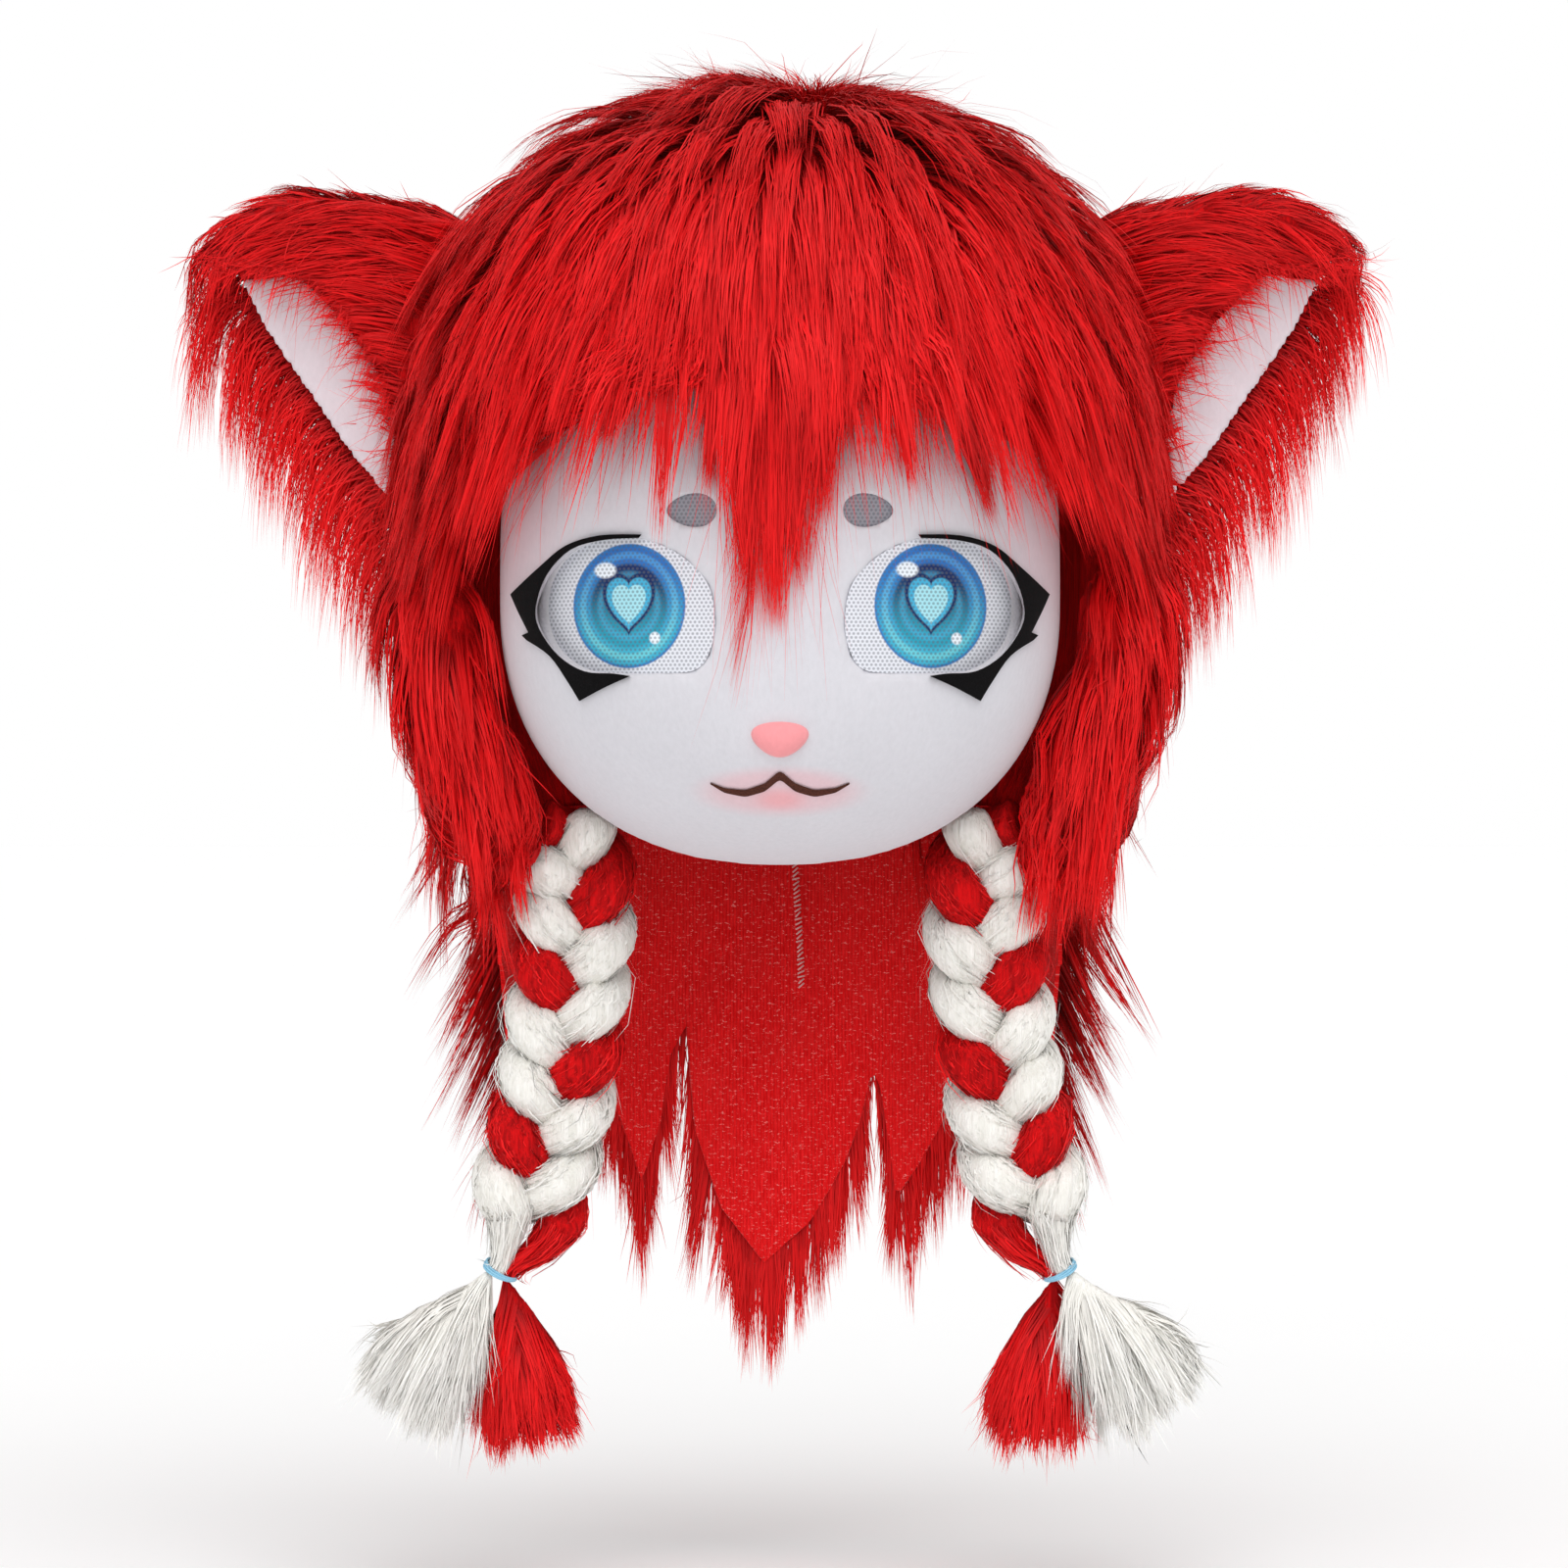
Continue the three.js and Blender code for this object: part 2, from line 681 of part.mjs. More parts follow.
// Side hair: horizontal sections, as shares of its drop, its outer reach and its front and back depth
const sideHairTable = [
  { drop: 1.0, inner: 0.64, outer: 0.7, front: 0.12, back: 0.12 },
  { drop: 0.88, inner: 0.53, outer: 0.81, front: 0.7, back: 0.4 },
  { drop: 0.7, inner: 0.55, outer: 0.88, front: 0.9, back: 0.8 },
  { drop: 0.42, inner: 0.6, outer: 0.96, front: 1.0, back: 1.0 },
  { drop: 0.16, inner: 0.66, outer: 1.0, front: 0.85, back: 0.9 },
  { drop: 0.0, inner: 0.74, outer: 0.97, front: 0.5, back: 0.6 },
];

function buildSideHair(side) {
  const rings = sideHairTable.map((row) => {
    const z = mix(sideHairTopZ, sideHairTipZ, row.drop);
    const inner = row.inner * sideHairOut;
    const outer = row.outer * sideHairOut;
    const ring = ovalRing(z, (outer - inner) / 2, -row.front * sideHairFront, row.back * sideHairBack, 16, 2);
    return ring.map((p) => vec(p.x + (side * (inner + outer)) / 2, p.y, p.z));
  });
  const hoodWithGap = hoodOuter(gap).subtract(beforeHood(2 * gap));
  const lashSpace = prism(offsetOutline(lashOutline(side), gap), -farY, 0);
  return solid(loft(rings))
    .subtract(hoodWithGap)
    .subtract(headForm)
    .subtract(lashSpace)
    .subtract(braidSpace());
}

// The locks stay clear of the braids, which start behind them under the hood's rim
function braidSpace() {
  const inner = braidTopX + plaitHalfWidth + strandHalfWidth + gap;
  return box([-inner, braidY - plaitHalfDepth - strandHalfWidth - gap, -farZ], [inner, farY, hoodRimZ + 2]);
}

for (const [name, side] of [['left', 1], ['right', -1]]) {
  addPiece(`side_hair_${name}`, buildSideHair(side), materials.redFur);
}

// Neck flap: its lower edge, as shares of the flap's half width and of its length
const flapTable = [
  { across: -0.99, drop: 0.3 },
  { across: -0.95, drop: 0.7 },
  { across: -0.86, drop: 0.52 },
  { across: -0.8, drop: 0.36 },
  { across: -0.74, drop: 0.42 },
  { across: -0.68, drop: 0.56 },
  { across: -0.58, drop: 0.655 },
  { across: -0.5, drop: 0.81 },
  { across: -0.43, drop: 0.66 },
  { across: -0.41, drop: 0.53 },
  { across: -0.345, drop: 0.45 },
  { across: -0.33, drop: 0.56 },
  { across: -0.31, drop: 0.69 },
  { across: -0.22, drop: 0.87 },
  { across: -0.06, drop: 1.0 },
  { across: 0.1, drop: 0.91 },
  { across: 0.18, drop: 0.83 },
  { across: 0.24, drop: 0.76 },
  { across: 0.29, drop: 0.67 },
  { across: 0.335, drop: 0.55 },
  { across: 0.365, drop: 0.6 },
  { across: 0.39, drop: 0.7 },
  { across: 0.42, drop: 0.845 },
  { across: 0.5, drop: 0.77 },
  { across: 0.6, drop: 0.655 },
  { across: 0.7, drop: 0.55 },
  { across: 0.8, drop: 0.36 },
  { across: 0.86, drop: 0.52 },
  { across: 0.95, drop: 0.7 },
  { across: 0.99, drop: 0.3 },
];

// The fur's tips below the flap, in the same shares of the fur's own length
const neckFurTable = [
  { across: -0.985, drop: 0.42 },
  { across: -0.95, drop: 0.7 },
  { across: -0.86, drop: 0.74 },
  { across: -0.8, drop: 0.5 },
  { across: -0.68, drop: 0.68 },
  { across: -0.58, drop: 0.86 },
  { across: -0.5, drop: 0.84 },
  { across: -0.41, drop: 0.72 },
  { across: -0.345, drop: 0.5 },
  { across: -0.31, drop: 0.74 },
  { across: -0.22, drop: 0.84 },
  { across: -0.14, drop: 0.92 },
  { across: -0.06, drop: 1.0 },
  { across: 0.06, drop: 0.94 },
  { across: 0.18, drop: 0.85 },
  { across: 0.29, drop: 0.74 },
  { across: 0.335, drop: 0.52 },
  { across: 0.39, drop: 0.74 },
  { across: 0.45, drop: 0.84 },
  { across: 0.56, drop: 0.8 },
  { across: 0.68, drop: 0.7 },
  { across: 0.8, drop: 0.5 },
  { across: 0.86, drop: 0.74 },
  { across: 0.95, drop: 0.7 },
  { across: 0.985, drop: 0.42 },
];

const sweepLimit = THREE.MathUtils.degToRad(flapSweep);

function napePoint(angle, outward, z) {
  const x = (flapHalfWidth + outward) * Math.sin(angle);
  return vec(x, flapFrontY + (flapBackY - flapFrontY + outward) * Math.cos(angle), z);
}

// A curtain round the nape: each station is a ring of inner and outer points between top and lower edge
function curtain(table, topZ, length, inward, outwardAt) {
  const levels = [0, 0.35, 0.7, 1];
  const rings = table.map((row) => {
    const angle = clamp(Math.asin(row.across), -sweepLimit, sweepLimit);
    const level = (share) => topZ - share * row.drop * length;
    const inner = levels.map((share) => napePoint(angle, inward, level(share)));
    const outer = levels.map((share) => napePoint(angle, outwardAt(share * row.drop), level(share)));
    return [...inner, ...outer.reverse()];
  });
  return solid(loft(rings));
}

const flapTopZ = hoodRimZ - gap;

addPiece('neck_flap', curtain(flapTable, flapTopZ, flapLength, 0, () => flapThickness), materials.redKnit);

const furBelow = (share) => mix(neckFurThickness, neckFurTipThickness, clamp(share, 0, 1) ** 1.5);

// The fur lies on the outside of the flap's own line, which runs on below the petals
function buildNeckFur() {
  const furOutside = (share) => flapThickness + gap + furBelow(share);
  const pile = curtain(neckFurTable, flapTopZ, neckFurLength, 0, furOutside);
  const full = flapTable.map((row) => ({ across: row.across, drop: 2 }));
  const inner = -20;
  return pile.subtract(curtain(full, flapTopZ + 1, neckFurLength, inner, () => flapThickness + gap));
}

addPiece('neck_fur', buildNeckFur(), materials.redFur);

// Braids: the centre line bows in and then outwards as it hangs, in shares of its drop and of its bow
const braidTable = [
  { drop: -0.04, across: 0.99 },
  { drop: 0.12, across: 0.9 },
  { drop: 0.33, across: 0.93 },
  { drop: 0.59, across: 1.0 },
  { drop: 0.74, across: 1.07 },
  { drop: 0.9, across: 1.16 },
  { drop: 1.0, across: 1.26 },
];
const tieDepthShare = 1.25;
const gatherTurn = THREE.MathUtils.degToRad(95);
const gatherPower = 1.4;
const slimPower = 0.6;

function braidAxis(side) {
  const points = braidTable.map((row) => {
    const z = flapTopZ - row.drop * braidDrop;
    return vec(side * (braidTopX + (row.across - 1) * braidBow), braidY, z);
  });
  return new THREE.CatmullRomCurve3(points, false, 'centripetal');
}

const gathered = (share) => clamp((share - gatherFrom) / (gatherTo - gatherFrom), 0, 1);

// Strand order: the red one and two white ones, a third of a turn apart
function buildStrand(side, index) {
  const axis = braidAxis(side);
  const total = axis.getLength();
  const steps = 32;
  const sectionPoints = 7;
  const centre = (share) => {
    const at = clamp(share, 0, 1);
    const before = Math.min(at - gatherFrom, 0) * total;
    const turn = (2 * Math.PI * before) / plaitPitch + (index * 2 * Math.PI) / 3 + gatherTurn;
    const gather = gathered(at) ** gatherPower;
    const point = axis.getPointAt(at);
    const tangent = axis.getTangentAt(at);
    const across = vec(0, 1, 0).cross(tangent).normalize().multiplyScalar(side);
    const halfWidth = mix(plaitHalfWidth, tieStrandOffset, gather);
    const halfDepth = mix(plaitHalfDepth, tieStrandOffset * tieDepthShare, gather);
    point.addScaledVector(across, halfWidth * Math.sin(turn));
    point.y += halfDepth * Math.sin(2 * turn);
    return point;
  };
  const rings = [];
  for (let i = 0; i <= steps; i += 1) {
    const share = i / steps;
    const tangent = centre(share + 0.004).sub(centre(share - 0.004)).normalize();
    const across = vec(0, 1, 0).cross(tangent).normalize();
    const deep = tangent.clone().cross(across).normalize();
    const slim = mix(1, tieStrandRadius / strandHalfWidth, gathered(share) ** slimPower);
    const middle = centre(share);
    rings.push(Array.from({ length: sectionPoints }, (_, j) => {
      const angle = (2 * Math.PI * j) / sectionPoints;
      return middle.clone()
        .addScaledVector(across, strandHalfWidth * slim * Math.cos(angle))
        .addScaledVector(deep, strandHalfDepth * slim * Math.sin(angle));
    }));
  }
  return solid(loft(rings)).subtract(box([-farX, -farY, flapTopZ], [farX, farY, farZ]));
}

const strandNames = ['red', 'white_a', 'white_b'];

for (const [name, side] of [['left', 1], ['right', -1]]) {
  strandNames.forEach((strand, index) => {
    const material = strand === 'red' ? materials.redFur : materials.whiteFur;
    addPiece(`braid_${name}_${strand}`, buildStrand(side, index), material);
  });
}

// Ties: an elastic ring round the three gathered strands
function buildTie(side) {
  const axis = braidAxis(side);
  const share = 1 - tieFromEnd / axis.getLength();
  const radius = tieStrandOffset * tieDepthShare + tieStrandRadius + tieSlack + tieBand;
  const geometry = new THREE.TorusGeometry(radius, tieBand, 6, 16);
  const turn = new THREE.Quaternion().setFromUnitVectors(vec(0, 0, 1), axis.getTangentAt(share));
  geometry.applyQuaternion(turn);
  geometry.translate(...axis.getPointAt(share).toArray());
  return solid(geometry);
}

// Tassels: sections along each fan's middle, as shares of its length, half width and half depth
const tasselTables = {
  white: [
    { out: 0.03, down: -0.014, width: 0.17, depth: 0.26, forward: 0.3 },
    { out: 0.15, down: 0.14, width: 0.42, depth: 0.6, forward: 0.5 },
    { out: 0.34, down: 0.34, width: 0.74, depth: 0.9, forward: 0.6 },
    { out: 0.52, down: 0.57, width: 0.96, depth: 0.95, forward: 0.6 },
    { out: 0.62, down: 0.7, width: 0.94, depth: 0.7, forward: 0.6 },
    { out: 0.66, down: 0.76, width: 0.7, depth: 0.3, forward: 0.6 },
  ],
  red: [
    { out: -0.04, down: 0.034, width: 0.14, depth: 0.26, forward: -0.3 },
    { out: -0.1, down: 0.2, width: 0.36, depth: 0.6, forward: -0.6 },
    { out: -0.15, down: 0.45, width: 0.66, depth: 0.85, forward: -0.7 },
    { out: -0.17, down: 0.76, width: 0.94, depth: 0.95, forward: -0.7 },
    { out: -0.17, down: 0.93, width: 0.88, depth: 0.7, forward: -0.7 },
    { out: -0.17, down: 1.0, width: 0.66, depth: 0.3, forward: -0.7 },
  ],
};

function buildTassel(side, table, grow) {
  const end = braidAxis(side).getPointAt(1);
  const top = vec(end.x, end.y, end.z - tasselTopGap);
  const centres = table.map((row) => vec(
    top.x + side * row.out * tasselLength,
    top.y - row.forward * tasselHalfDepth,
    top.z - row.down * tasselLength,
  ));
  const sectionPoints = 14;
  const rings = table.map((row, i) => {
    const along = centres[Math.min(i + 1, centres.length - 1)].clone().sub(centres[Math.max(i - 1, 0)]);
    along.y = 0;
    along.normalize();
    const across = vec(0, 1, 0).cross(along).normalize();
    return Array.from({ length: sectionPoints }, (_, j) => {
      const angle = (2 * Math.PI * j) / sectionPoints;
      return centres[i].clone()
        .addScaledVector(across, (row.width * tasselHalfWidth + grow) * Math.cos(angle))
        .addScaledVector(vec(0, 1, 0), (row.depth * tasselHalfDepth + grow) * Math.sin(angle));
    });
  });
  return solid(loft(rings));
}

for (const [name, side] of [['left', 1], ['right', -1]]) {
  addPiece(`hair_tie_${name}`, buildTie(side), materials.blueElastic);
  const white = buildTassel(side, tasselTables.white, 0);
  const red = buildTassel(side, tasselTables.red, 0).subtract(buildTassel(side, tasselTables.white, gap));
  addPiece(`tassel_${name}_white`, white, materials.whiteFur);
  addPiece(`tassel_${name}_red`, red, materials.redFur);
}

export default head;
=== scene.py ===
import math

import bpy
import numpy as np
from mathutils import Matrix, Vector
from mathutils.bvhtree import BVHTree
from mathutils.kdtree import KDTree


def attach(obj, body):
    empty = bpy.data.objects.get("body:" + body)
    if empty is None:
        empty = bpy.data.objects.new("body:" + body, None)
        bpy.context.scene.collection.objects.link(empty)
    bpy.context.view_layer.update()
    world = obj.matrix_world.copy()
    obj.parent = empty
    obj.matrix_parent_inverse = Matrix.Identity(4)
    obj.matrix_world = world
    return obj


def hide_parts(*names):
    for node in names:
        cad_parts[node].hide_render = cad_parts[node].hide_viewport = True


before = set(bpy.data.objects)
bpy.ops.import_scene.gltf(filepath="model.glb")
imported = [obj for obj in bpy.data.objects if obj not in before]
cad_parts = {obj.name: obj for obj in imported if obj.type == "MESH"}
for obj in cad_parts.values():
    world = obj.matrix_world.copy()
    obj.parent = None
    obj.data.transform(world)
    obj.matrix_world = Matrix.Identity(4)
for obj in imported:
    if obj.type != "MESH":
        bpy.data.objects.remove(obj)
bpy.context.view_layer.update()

# The head's sizes, in millimetres: +X is the wearer's left and -Y the front
MM = 0.001
FACE_HALF_WIDTH = 114.4
CROWN_RISE = 173
CHIN_DROP = 110
FACE_DEPTH = 108
SKULL_DEPTH = 128
SHELL_WALL = 3
WIDEST_Y = -10
WIDEST_Z = -170
OUTLINE_POWER = 2.25
CROWN_POWER = 2.5
DEPTH_POWER = 2.2
MUZZLE_RISE = 6
MUZZLE_HALF_WIDTH = 34
MUZZLE_HALF_HEIGHT = 26
MUZZLE_Z = -240
RIM_TOP_Y = 15
RIM_TOP_Z = -150
RIM_CHIN_Y = -24
CHIN_Z = WIDEST_Z - CHIN_DROP
GAP = 0.3

# Eyes, brows, nose and mouth
EYE_SPACING = 122.8
EYE_Z = -176
EYE_HALF_WIDTH = 35.4
EYE_HALF_HEIGHT = 26
EYE_MESH_THICKNESS = 1.4
EYE_INNER_RECESS = 0.8
EYE_OUTER_RECESS = 6.5
EYE_COLLAR = 3
COLLAR_DEPTH = 9
FACE_VOXEL = 2.6
PILE_DEPTH = 0.8
IRIS_X = 59.4
IRIS_Z = -176
IRIS_HALF_WIDTH = 22.4
IRIS_HALF_HEIGHT = 24.4
BROW_SPACING = 69
BROW_Z = -138.8
BROW_HALF_WIDTH = 9.8
BROW_HALF_HEIGHT = 6.6
BROW_MESH_THICKNESS = 1
BROW_RECESS = 1.4
LASH_THICKNESS = 1.6
NOSE_Z = -228
NOSE_HALF_WIDTH = 11
NOSE_HALF_HEIGHT = 7.6
NOSE_RISE = 6.5
MOUTH_Z = -247
MOUTH_HALF_WIDTH = 27.4
MOUTH_RISE = 4.6
MOUTH_LINE = 3.4

# Hood, ears, flap and braids
HOOD_HALF_WIDTH = 150
HOOD_FRONT = 138
HOOD_TOP = 40
HOOD_RIM_Z = -265
HOOD_POWER = 2.2
EAR_ROOT = 128
EAR_LENGTH = 124
EAR_TOP_Z = 0
EAR_HEIGHT = 143
FLAP_TOP_Z = HOOD_RIM_Z - GAP
FLAP_HALF_WIDTH = 116
FLAP_FRONT_Y = 28
FLAP_BACK_Y = 116
FLAP_LENGTH = 186
FLAP_SWEEP = math.radians(84)
BRAID_TOP_X = 92
BRAID_DROP = 183
BRAID_Y = 4
PLAIT_PITCH = 70
PLAIT_HALF_WIDTH = 15
PLAIT_HALF_DEPTH = 9.5
STRAND_HALF_WIDTH = 10.2
STRAND_HALF_DEPTH = 8.2
GATHER_FROM = 0.85
GATHER_TO = 0.965
GATHER_TURN = math.radians(95)
TIE_OFFSET = 3.3
TIE_STRAND = 3.4
TIE_FROM_END = 3
SIDES = (("left", 1), ("right", -1))


def placed(name, data):
    """An object in the scene for a mesh, a light or the camera."""
    made = bpy.data.objects.new(name, data)
    bpy.context.scene.collection.objects.link(made)
    return made


# Camera: the photo's level front view through a long lens
LENS = 140.6
EYE_POINT = (0.0016, -2.51, -0.246)


def make_camera():
    data = bpy.data.cameras.new("front_camera")
    data.sensor_width = 36
    data.lens = LENS
    camera = placed("front_camera", data)
    camera.location = EYE_POINT
    camera.rotation_euler = (math.radians(90), 0, 0)
    bpy.context.scene.camera = camera


make_camera()


# Choosing objects and finishing modifiers
def choose(piece):
    bpy.ops.object.select_all(action="DESELECT")
    piece.select_set(True)
    bpy.context.view_layer.objects.active = piece
    return piece


def added(primitive, **settings):
    """Adds a primitive with nothing else selected."""
    bpy.ops.object.select_all(action="DESELECT")
    primitive(**settings)
    return bpy.context.active_object


def joined(whole, parts):
    choose(whole)
    for part in parts:
        part.select_set(True)
    bpy.ops.object.join()
    return whole


def modify(piece, kind, **settings):
    """Adds a modifier with its settings and applies it."""
    choose(piece)
    bpy.ops.object.modifier_add(type=kind)
    modifier = piece.modifiers[-1]
    for name, value in settings.items():
        setattr(modifier, name, value)
    bpy.ops.object.modifier_apply(modifier=modifier.name)
    return piece


def in_edit(piece, *steps):
    """Runs edit mode steps on the whole of a piece."""
    choose(piece)
    bpy.ops.object.mode_set(mode="EDIT")
    bpy.ops.mesh.select_all(action="SELECT")
    for step in steps:
        step()
    bpy.ops.object.mode_set(mode="OBJECT")
    return piece


def outward(piece):
    return in_edit(
        piece,
        lambda: bpy.ops.mesh.remove_doubles(threshold=1e-5),
        lambda: bpy.ops.mesh.normals_make_consistent(inside=False),
    )


def smooth_shade(piece, degrees=180):
    choose(piece)
    if degrees >= 180:
        bpy.ops.object.shade_smooth()
    else:
        bpy.ops.object.shade_smooth_by_angle(angle=math.radians(degrees))
    return piece


def places(mesh):
    co = np.empty(len(mesh.vertices) * 3, np.float32)
    mesh.vertices.foreach_get("co", co)
    return co.reshape(-1, 3).astype(float)


def reshape(piece, rule):
    """Moves each vertex by a rule on its place, in millimetres."""
    co = rule(places(piece.data) / MM) * MM
    piece.data.vertices.foreach_set("co", co.astype(np.float32).ravel())
    piece.data.update()
    return piece


def named(piece, name, material):
    piece.name = name
    piece.data.name = name
    piece.data.materials.clear()
    piece.data.materials.append(material)
    return piece


def seat(piece, slot, *nodes):
    """The piece rides on the head and stands for its nodes; its slot is not used."""
    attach(piece, "root")
    if nodes:
        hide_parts(*nodes)
    return piece


def mix(a, b, share):
    return a + (b - a) * share


def smoothstep(low, high, value):
    share = np.clip((value - low) / (high - low), 0, 1)
    return share * share * (3 - 2 * share)


def read_off(rows, at):
    """Rows of numbers read off at fractional row numbers."""
    rows = np.array(rows, float)
    knots = np.arange(len(rows))
    return np.stack([np.interp(at, knots, column) for column in rows.T], -1)


def eased(values, rounds):
    """Smooths a line of values between its ends."""
    for _ in range(rounds):
        values[1:-1] = (values[:-2] + 2 * values[1:-1] + values[2:]) / 4
    return values


# The face's form, as on the rigid shell
def outline_radius(angle, grow=0.0):
    up = np.sin(angle) > 0
    power = np.where(up, CROWN_POWER, OUTLINE_POWER)
    reach = np.where(up, CROWN_RISE, CHIN_DROP) + grow
    across = np.abs(np.cos(angle)) / (FACE_HALF_WIDTH + grow)
    rise = np.abs(np.sin(angle)) / reach
    return (across**power + rise**power) ** (-1 / power)


def muzzle_relief(x, z):
    across, up = x / MUZZLE_HALF_WIDTH, (z - MUZZLE_Z) / MUZZLE_HALF_HEIGHT
    return MUZZLE_RISE * np.exp(-(across**2) - up**2)


def face_y(x, z, grow=0.0):
    angle = np.arctan2(z - WIDEST_Z, x)
    share = np.hypot(x, z - WIDEST_Z) / outline_radius(angle, grow)
    fill = np.maximum(0, 1 - share**OUTLINE_POWER)
    return WIDEST_Y - (FACE_DEPTH + grow) * fill ** (1 / DEPTH_POWER) - muzzle_relief(x, z)


HOOD_LEVELS = np.array([0, 0.18, 0.38, 0.61, 0.74, 0.83, 0.9, 0.95, 0.98, 1])
HOOD_WIDTHS = np.array([0.92, 0.97, 1.0, 0.975, 0.9, 0.79, 0.64, 0.46, 0.29, 0.1])
HOOD_DEPTHS = np.array([0.88, 0.95, 1.0, 1.0, 0.95, 0.85, 0.72, 0.55, 0.36, 0.14])


def hood_front_y(x, z):
    """The Y of the hood's fur from the front."""
    level = np.clip((z - HOOD_RIM_Z) / (HOOD_TOP - HOOD_RIM_Z), 0, 1)
    half_width = np.interp(level, HOOD_LEVELS, HOOD_WIDTHS) * HOOD_HALF_WIDTH
    front = np.interp(level, HOOD_LEVELS, HOOD_DEPTHS) * HOOD_FRONT
    inside = np.clip(1 - np.abs(x / half_width) ** HOOD_POWER, 0, 1)
    return -front * inside ** (1 / HOOD_POWER)


def smooth_outline(points, samples):
    """A closed smooth curve through points, in as many samples from each to the next."""
    points = np.array(points, float)
    count = len(points)
    made = []
    for i in range(count):
        a, b, c, d = (points[(i + k) % count] for k in (-1, 0, 1, 2))
        for s in range(samples):
            t = s / samples
            made.append(0.5 * (2 * b + (c - a) * t + (2 * a - 5 * b + 4 * c - d) * t**2
                               + (3 * b - a - 3 * c + d) * t**3))
    return np.array(made)


def offset_outline(points, distance):
    points = np.array(points, float)
    before, after = np.roll(points, 1, 0), np.roll(points, -1, 0)
    area = np.sum(points[:, 0] * after[:, 1] - after[:, 0] * points[:, 1])
    run = after - before
    run /= np.linalg.norm(run, axis=1)[:, None]
    turn = 1 if area > 0 else -1
    return points + turn * distance * np.stack([run[:, 1], -run[:, 0]], 1)


# Shader nodes
class Maths:
    """Short forms for the maths, noises and colours of one node tree."""

    def __init__(self, tree):
        self.tree = tree

    def node(self, kind, **settings):
        made = self.tree.nodes.new(kind)
        for name, value in settings.items():
            setattr(made, name, value)
        return made

    def put(self, socket, value):
        if isinstance(value, bpy.types.NodeSocket):
            self.tree.links.new(value, socket)
        else:
            socket.default_value = value

    def do(self, operation, a, b=0.0, c=0.0, clamp=False):
        made = self.node("ShaderNodeMath", operation=operation, use_clamp=clamp)
        for socket, value in zip(made.inputs, (a, b, c)):
            self.put(socket, value)
        return made.outputs[0]

    def add(self, a, b):
        return self.do("ADD", a, b)

    def sub(self, a, b):
        return self.do("SUBTRACT", a, b)

    def mul(self, a, b):
        return self.do("MULTIPLY", a, b)

    def step(self, value, low, high):
        """0 below low, 1 above high and smooth between; the other way round if low is above high."""
        made = self.node("ShaderNodeMapRange", interpolation_type="SMOOTHSTEP")
        self.put(made.inputs[0], value)
        flip = low > high
        made.inputs[1].default_value = high if flip else low
        made.inputs[2].default_value = low if flip else high
        made.inputs[3].default_value = 1.0 if flip else 0.0
        made.inputs[4].default_value = 0.0 if flip else 1.0
        return made.outputs[0]

    def far(self, u, v):
        return self.do("SQRT", self.add(self.mul(u, u), self.mul(v, v)))

    def oval(self, u, v, middle, half):
        """The distance from an oval's middle, 1 on its rim."""
        across = self.mul(self.sub(u, middle[0]), 1 / half[0])
        return self.far(across, self.mul(self.sub(v, middle[1]), 1 / half[1]))

    def blend(self, share, a, b):
        made = self.node("ShaderNodeMix", data_type="RGBA", blend_type="MIX")
        self.put(made.inputs[0], share)
        self.put(made.inputs[6], a)
        self.put(made.inputs[7], b)
        return made.outputs[2]

    def noise(self, place, scale, detail=2.0, roughness=0.5):
        made = self.node("ShaderNodeTexNoise")
        self.put(made.inputs["Vector"], place)
        made.inputs["Scale"].default_value = scale
        made.inputs["Detail"].default_value = detail
        made.inputs["Roughness"].default_value = roughness
        return made.outputs[0]

    def place(self):
        return self.node("ShaderNodeTexCoord").outputs["Object"]

    def axes(self, place):
        made = self.node("ShaderNodeSeparateXYZ")
        self.put(made.inputs[0], place)
        return made.outputs[0], made.outputs[1], made.outputs[2]

    def stretch(self, place, scale, turn=(0, 0, 0)):
        made = self.node("ShaderNodeMapping")
        self.put(made.inputs["Vector"], place)
        made.inputs["Scale"].default_value = scale
        made.inputs["Rotation"].default_value = turn
        return made.outputs[0]

    def attribute(self, name):
        return self.node("ShaderNodeAttribute", attribute_name=name)


def srgb(red, green, blue):
    """A colour in 0 to 255 as the linear value that the shader takes."""
    def linear(value):
        value /= 255
        return value / 12.92 if value <= 0.04045 else ((value + 0.055) / 1.055) ** 2.4
    return (linear(red), linear(green), linear(blue), 1.0)


def group(name, inputs, outputs, build):
    """A node group whose named sockets hold only colours, values and vectors."""
    tree = bpy.data.node_groups.new(name, "ShaderNodeTree")
    for label, kind, value in inputs:
        socket = tree.interface.new_socket(label, in_out="INPUT", socket_type=kind)
        socket.default_value = value
    for label, kind in outputs:
        tree.interface.new_socket(label, in_out="OUTPUT", socket_type=kind)
    start = tree.nodes.new("NodeGroupInput")
    end = tree.nodes.new("NodeGroupOutput")
    build(Maths(tree), start.outputs, end.inputs)
    return tree


def use(maths, tree, **values):
    made = maths.node("ShaderNodeGroup", node_tree=tree)
    for label, value in values.items():
        maths.put(made.inputs[label.replace("_", " ").capitalize()], value)
    return made.outputs


def material(name, roughness, sheen=0.0, specular=0.3):
    made = bpy.data.materials.new(name)
    made.use_nodes = True
    shader = made.node_tree.nodes["Principled BSDF"]
    shader.inputs["Roughness"].default_value = roughness
    shader.inputs["Specular IOR Level"].default_value = specular
    shader.inputs["Sheen Weight"].default_value = sheen
    shader.inputs["Sheen Roughness"].default_value = 0.5
    return made, Maths(made.node_tree), shader


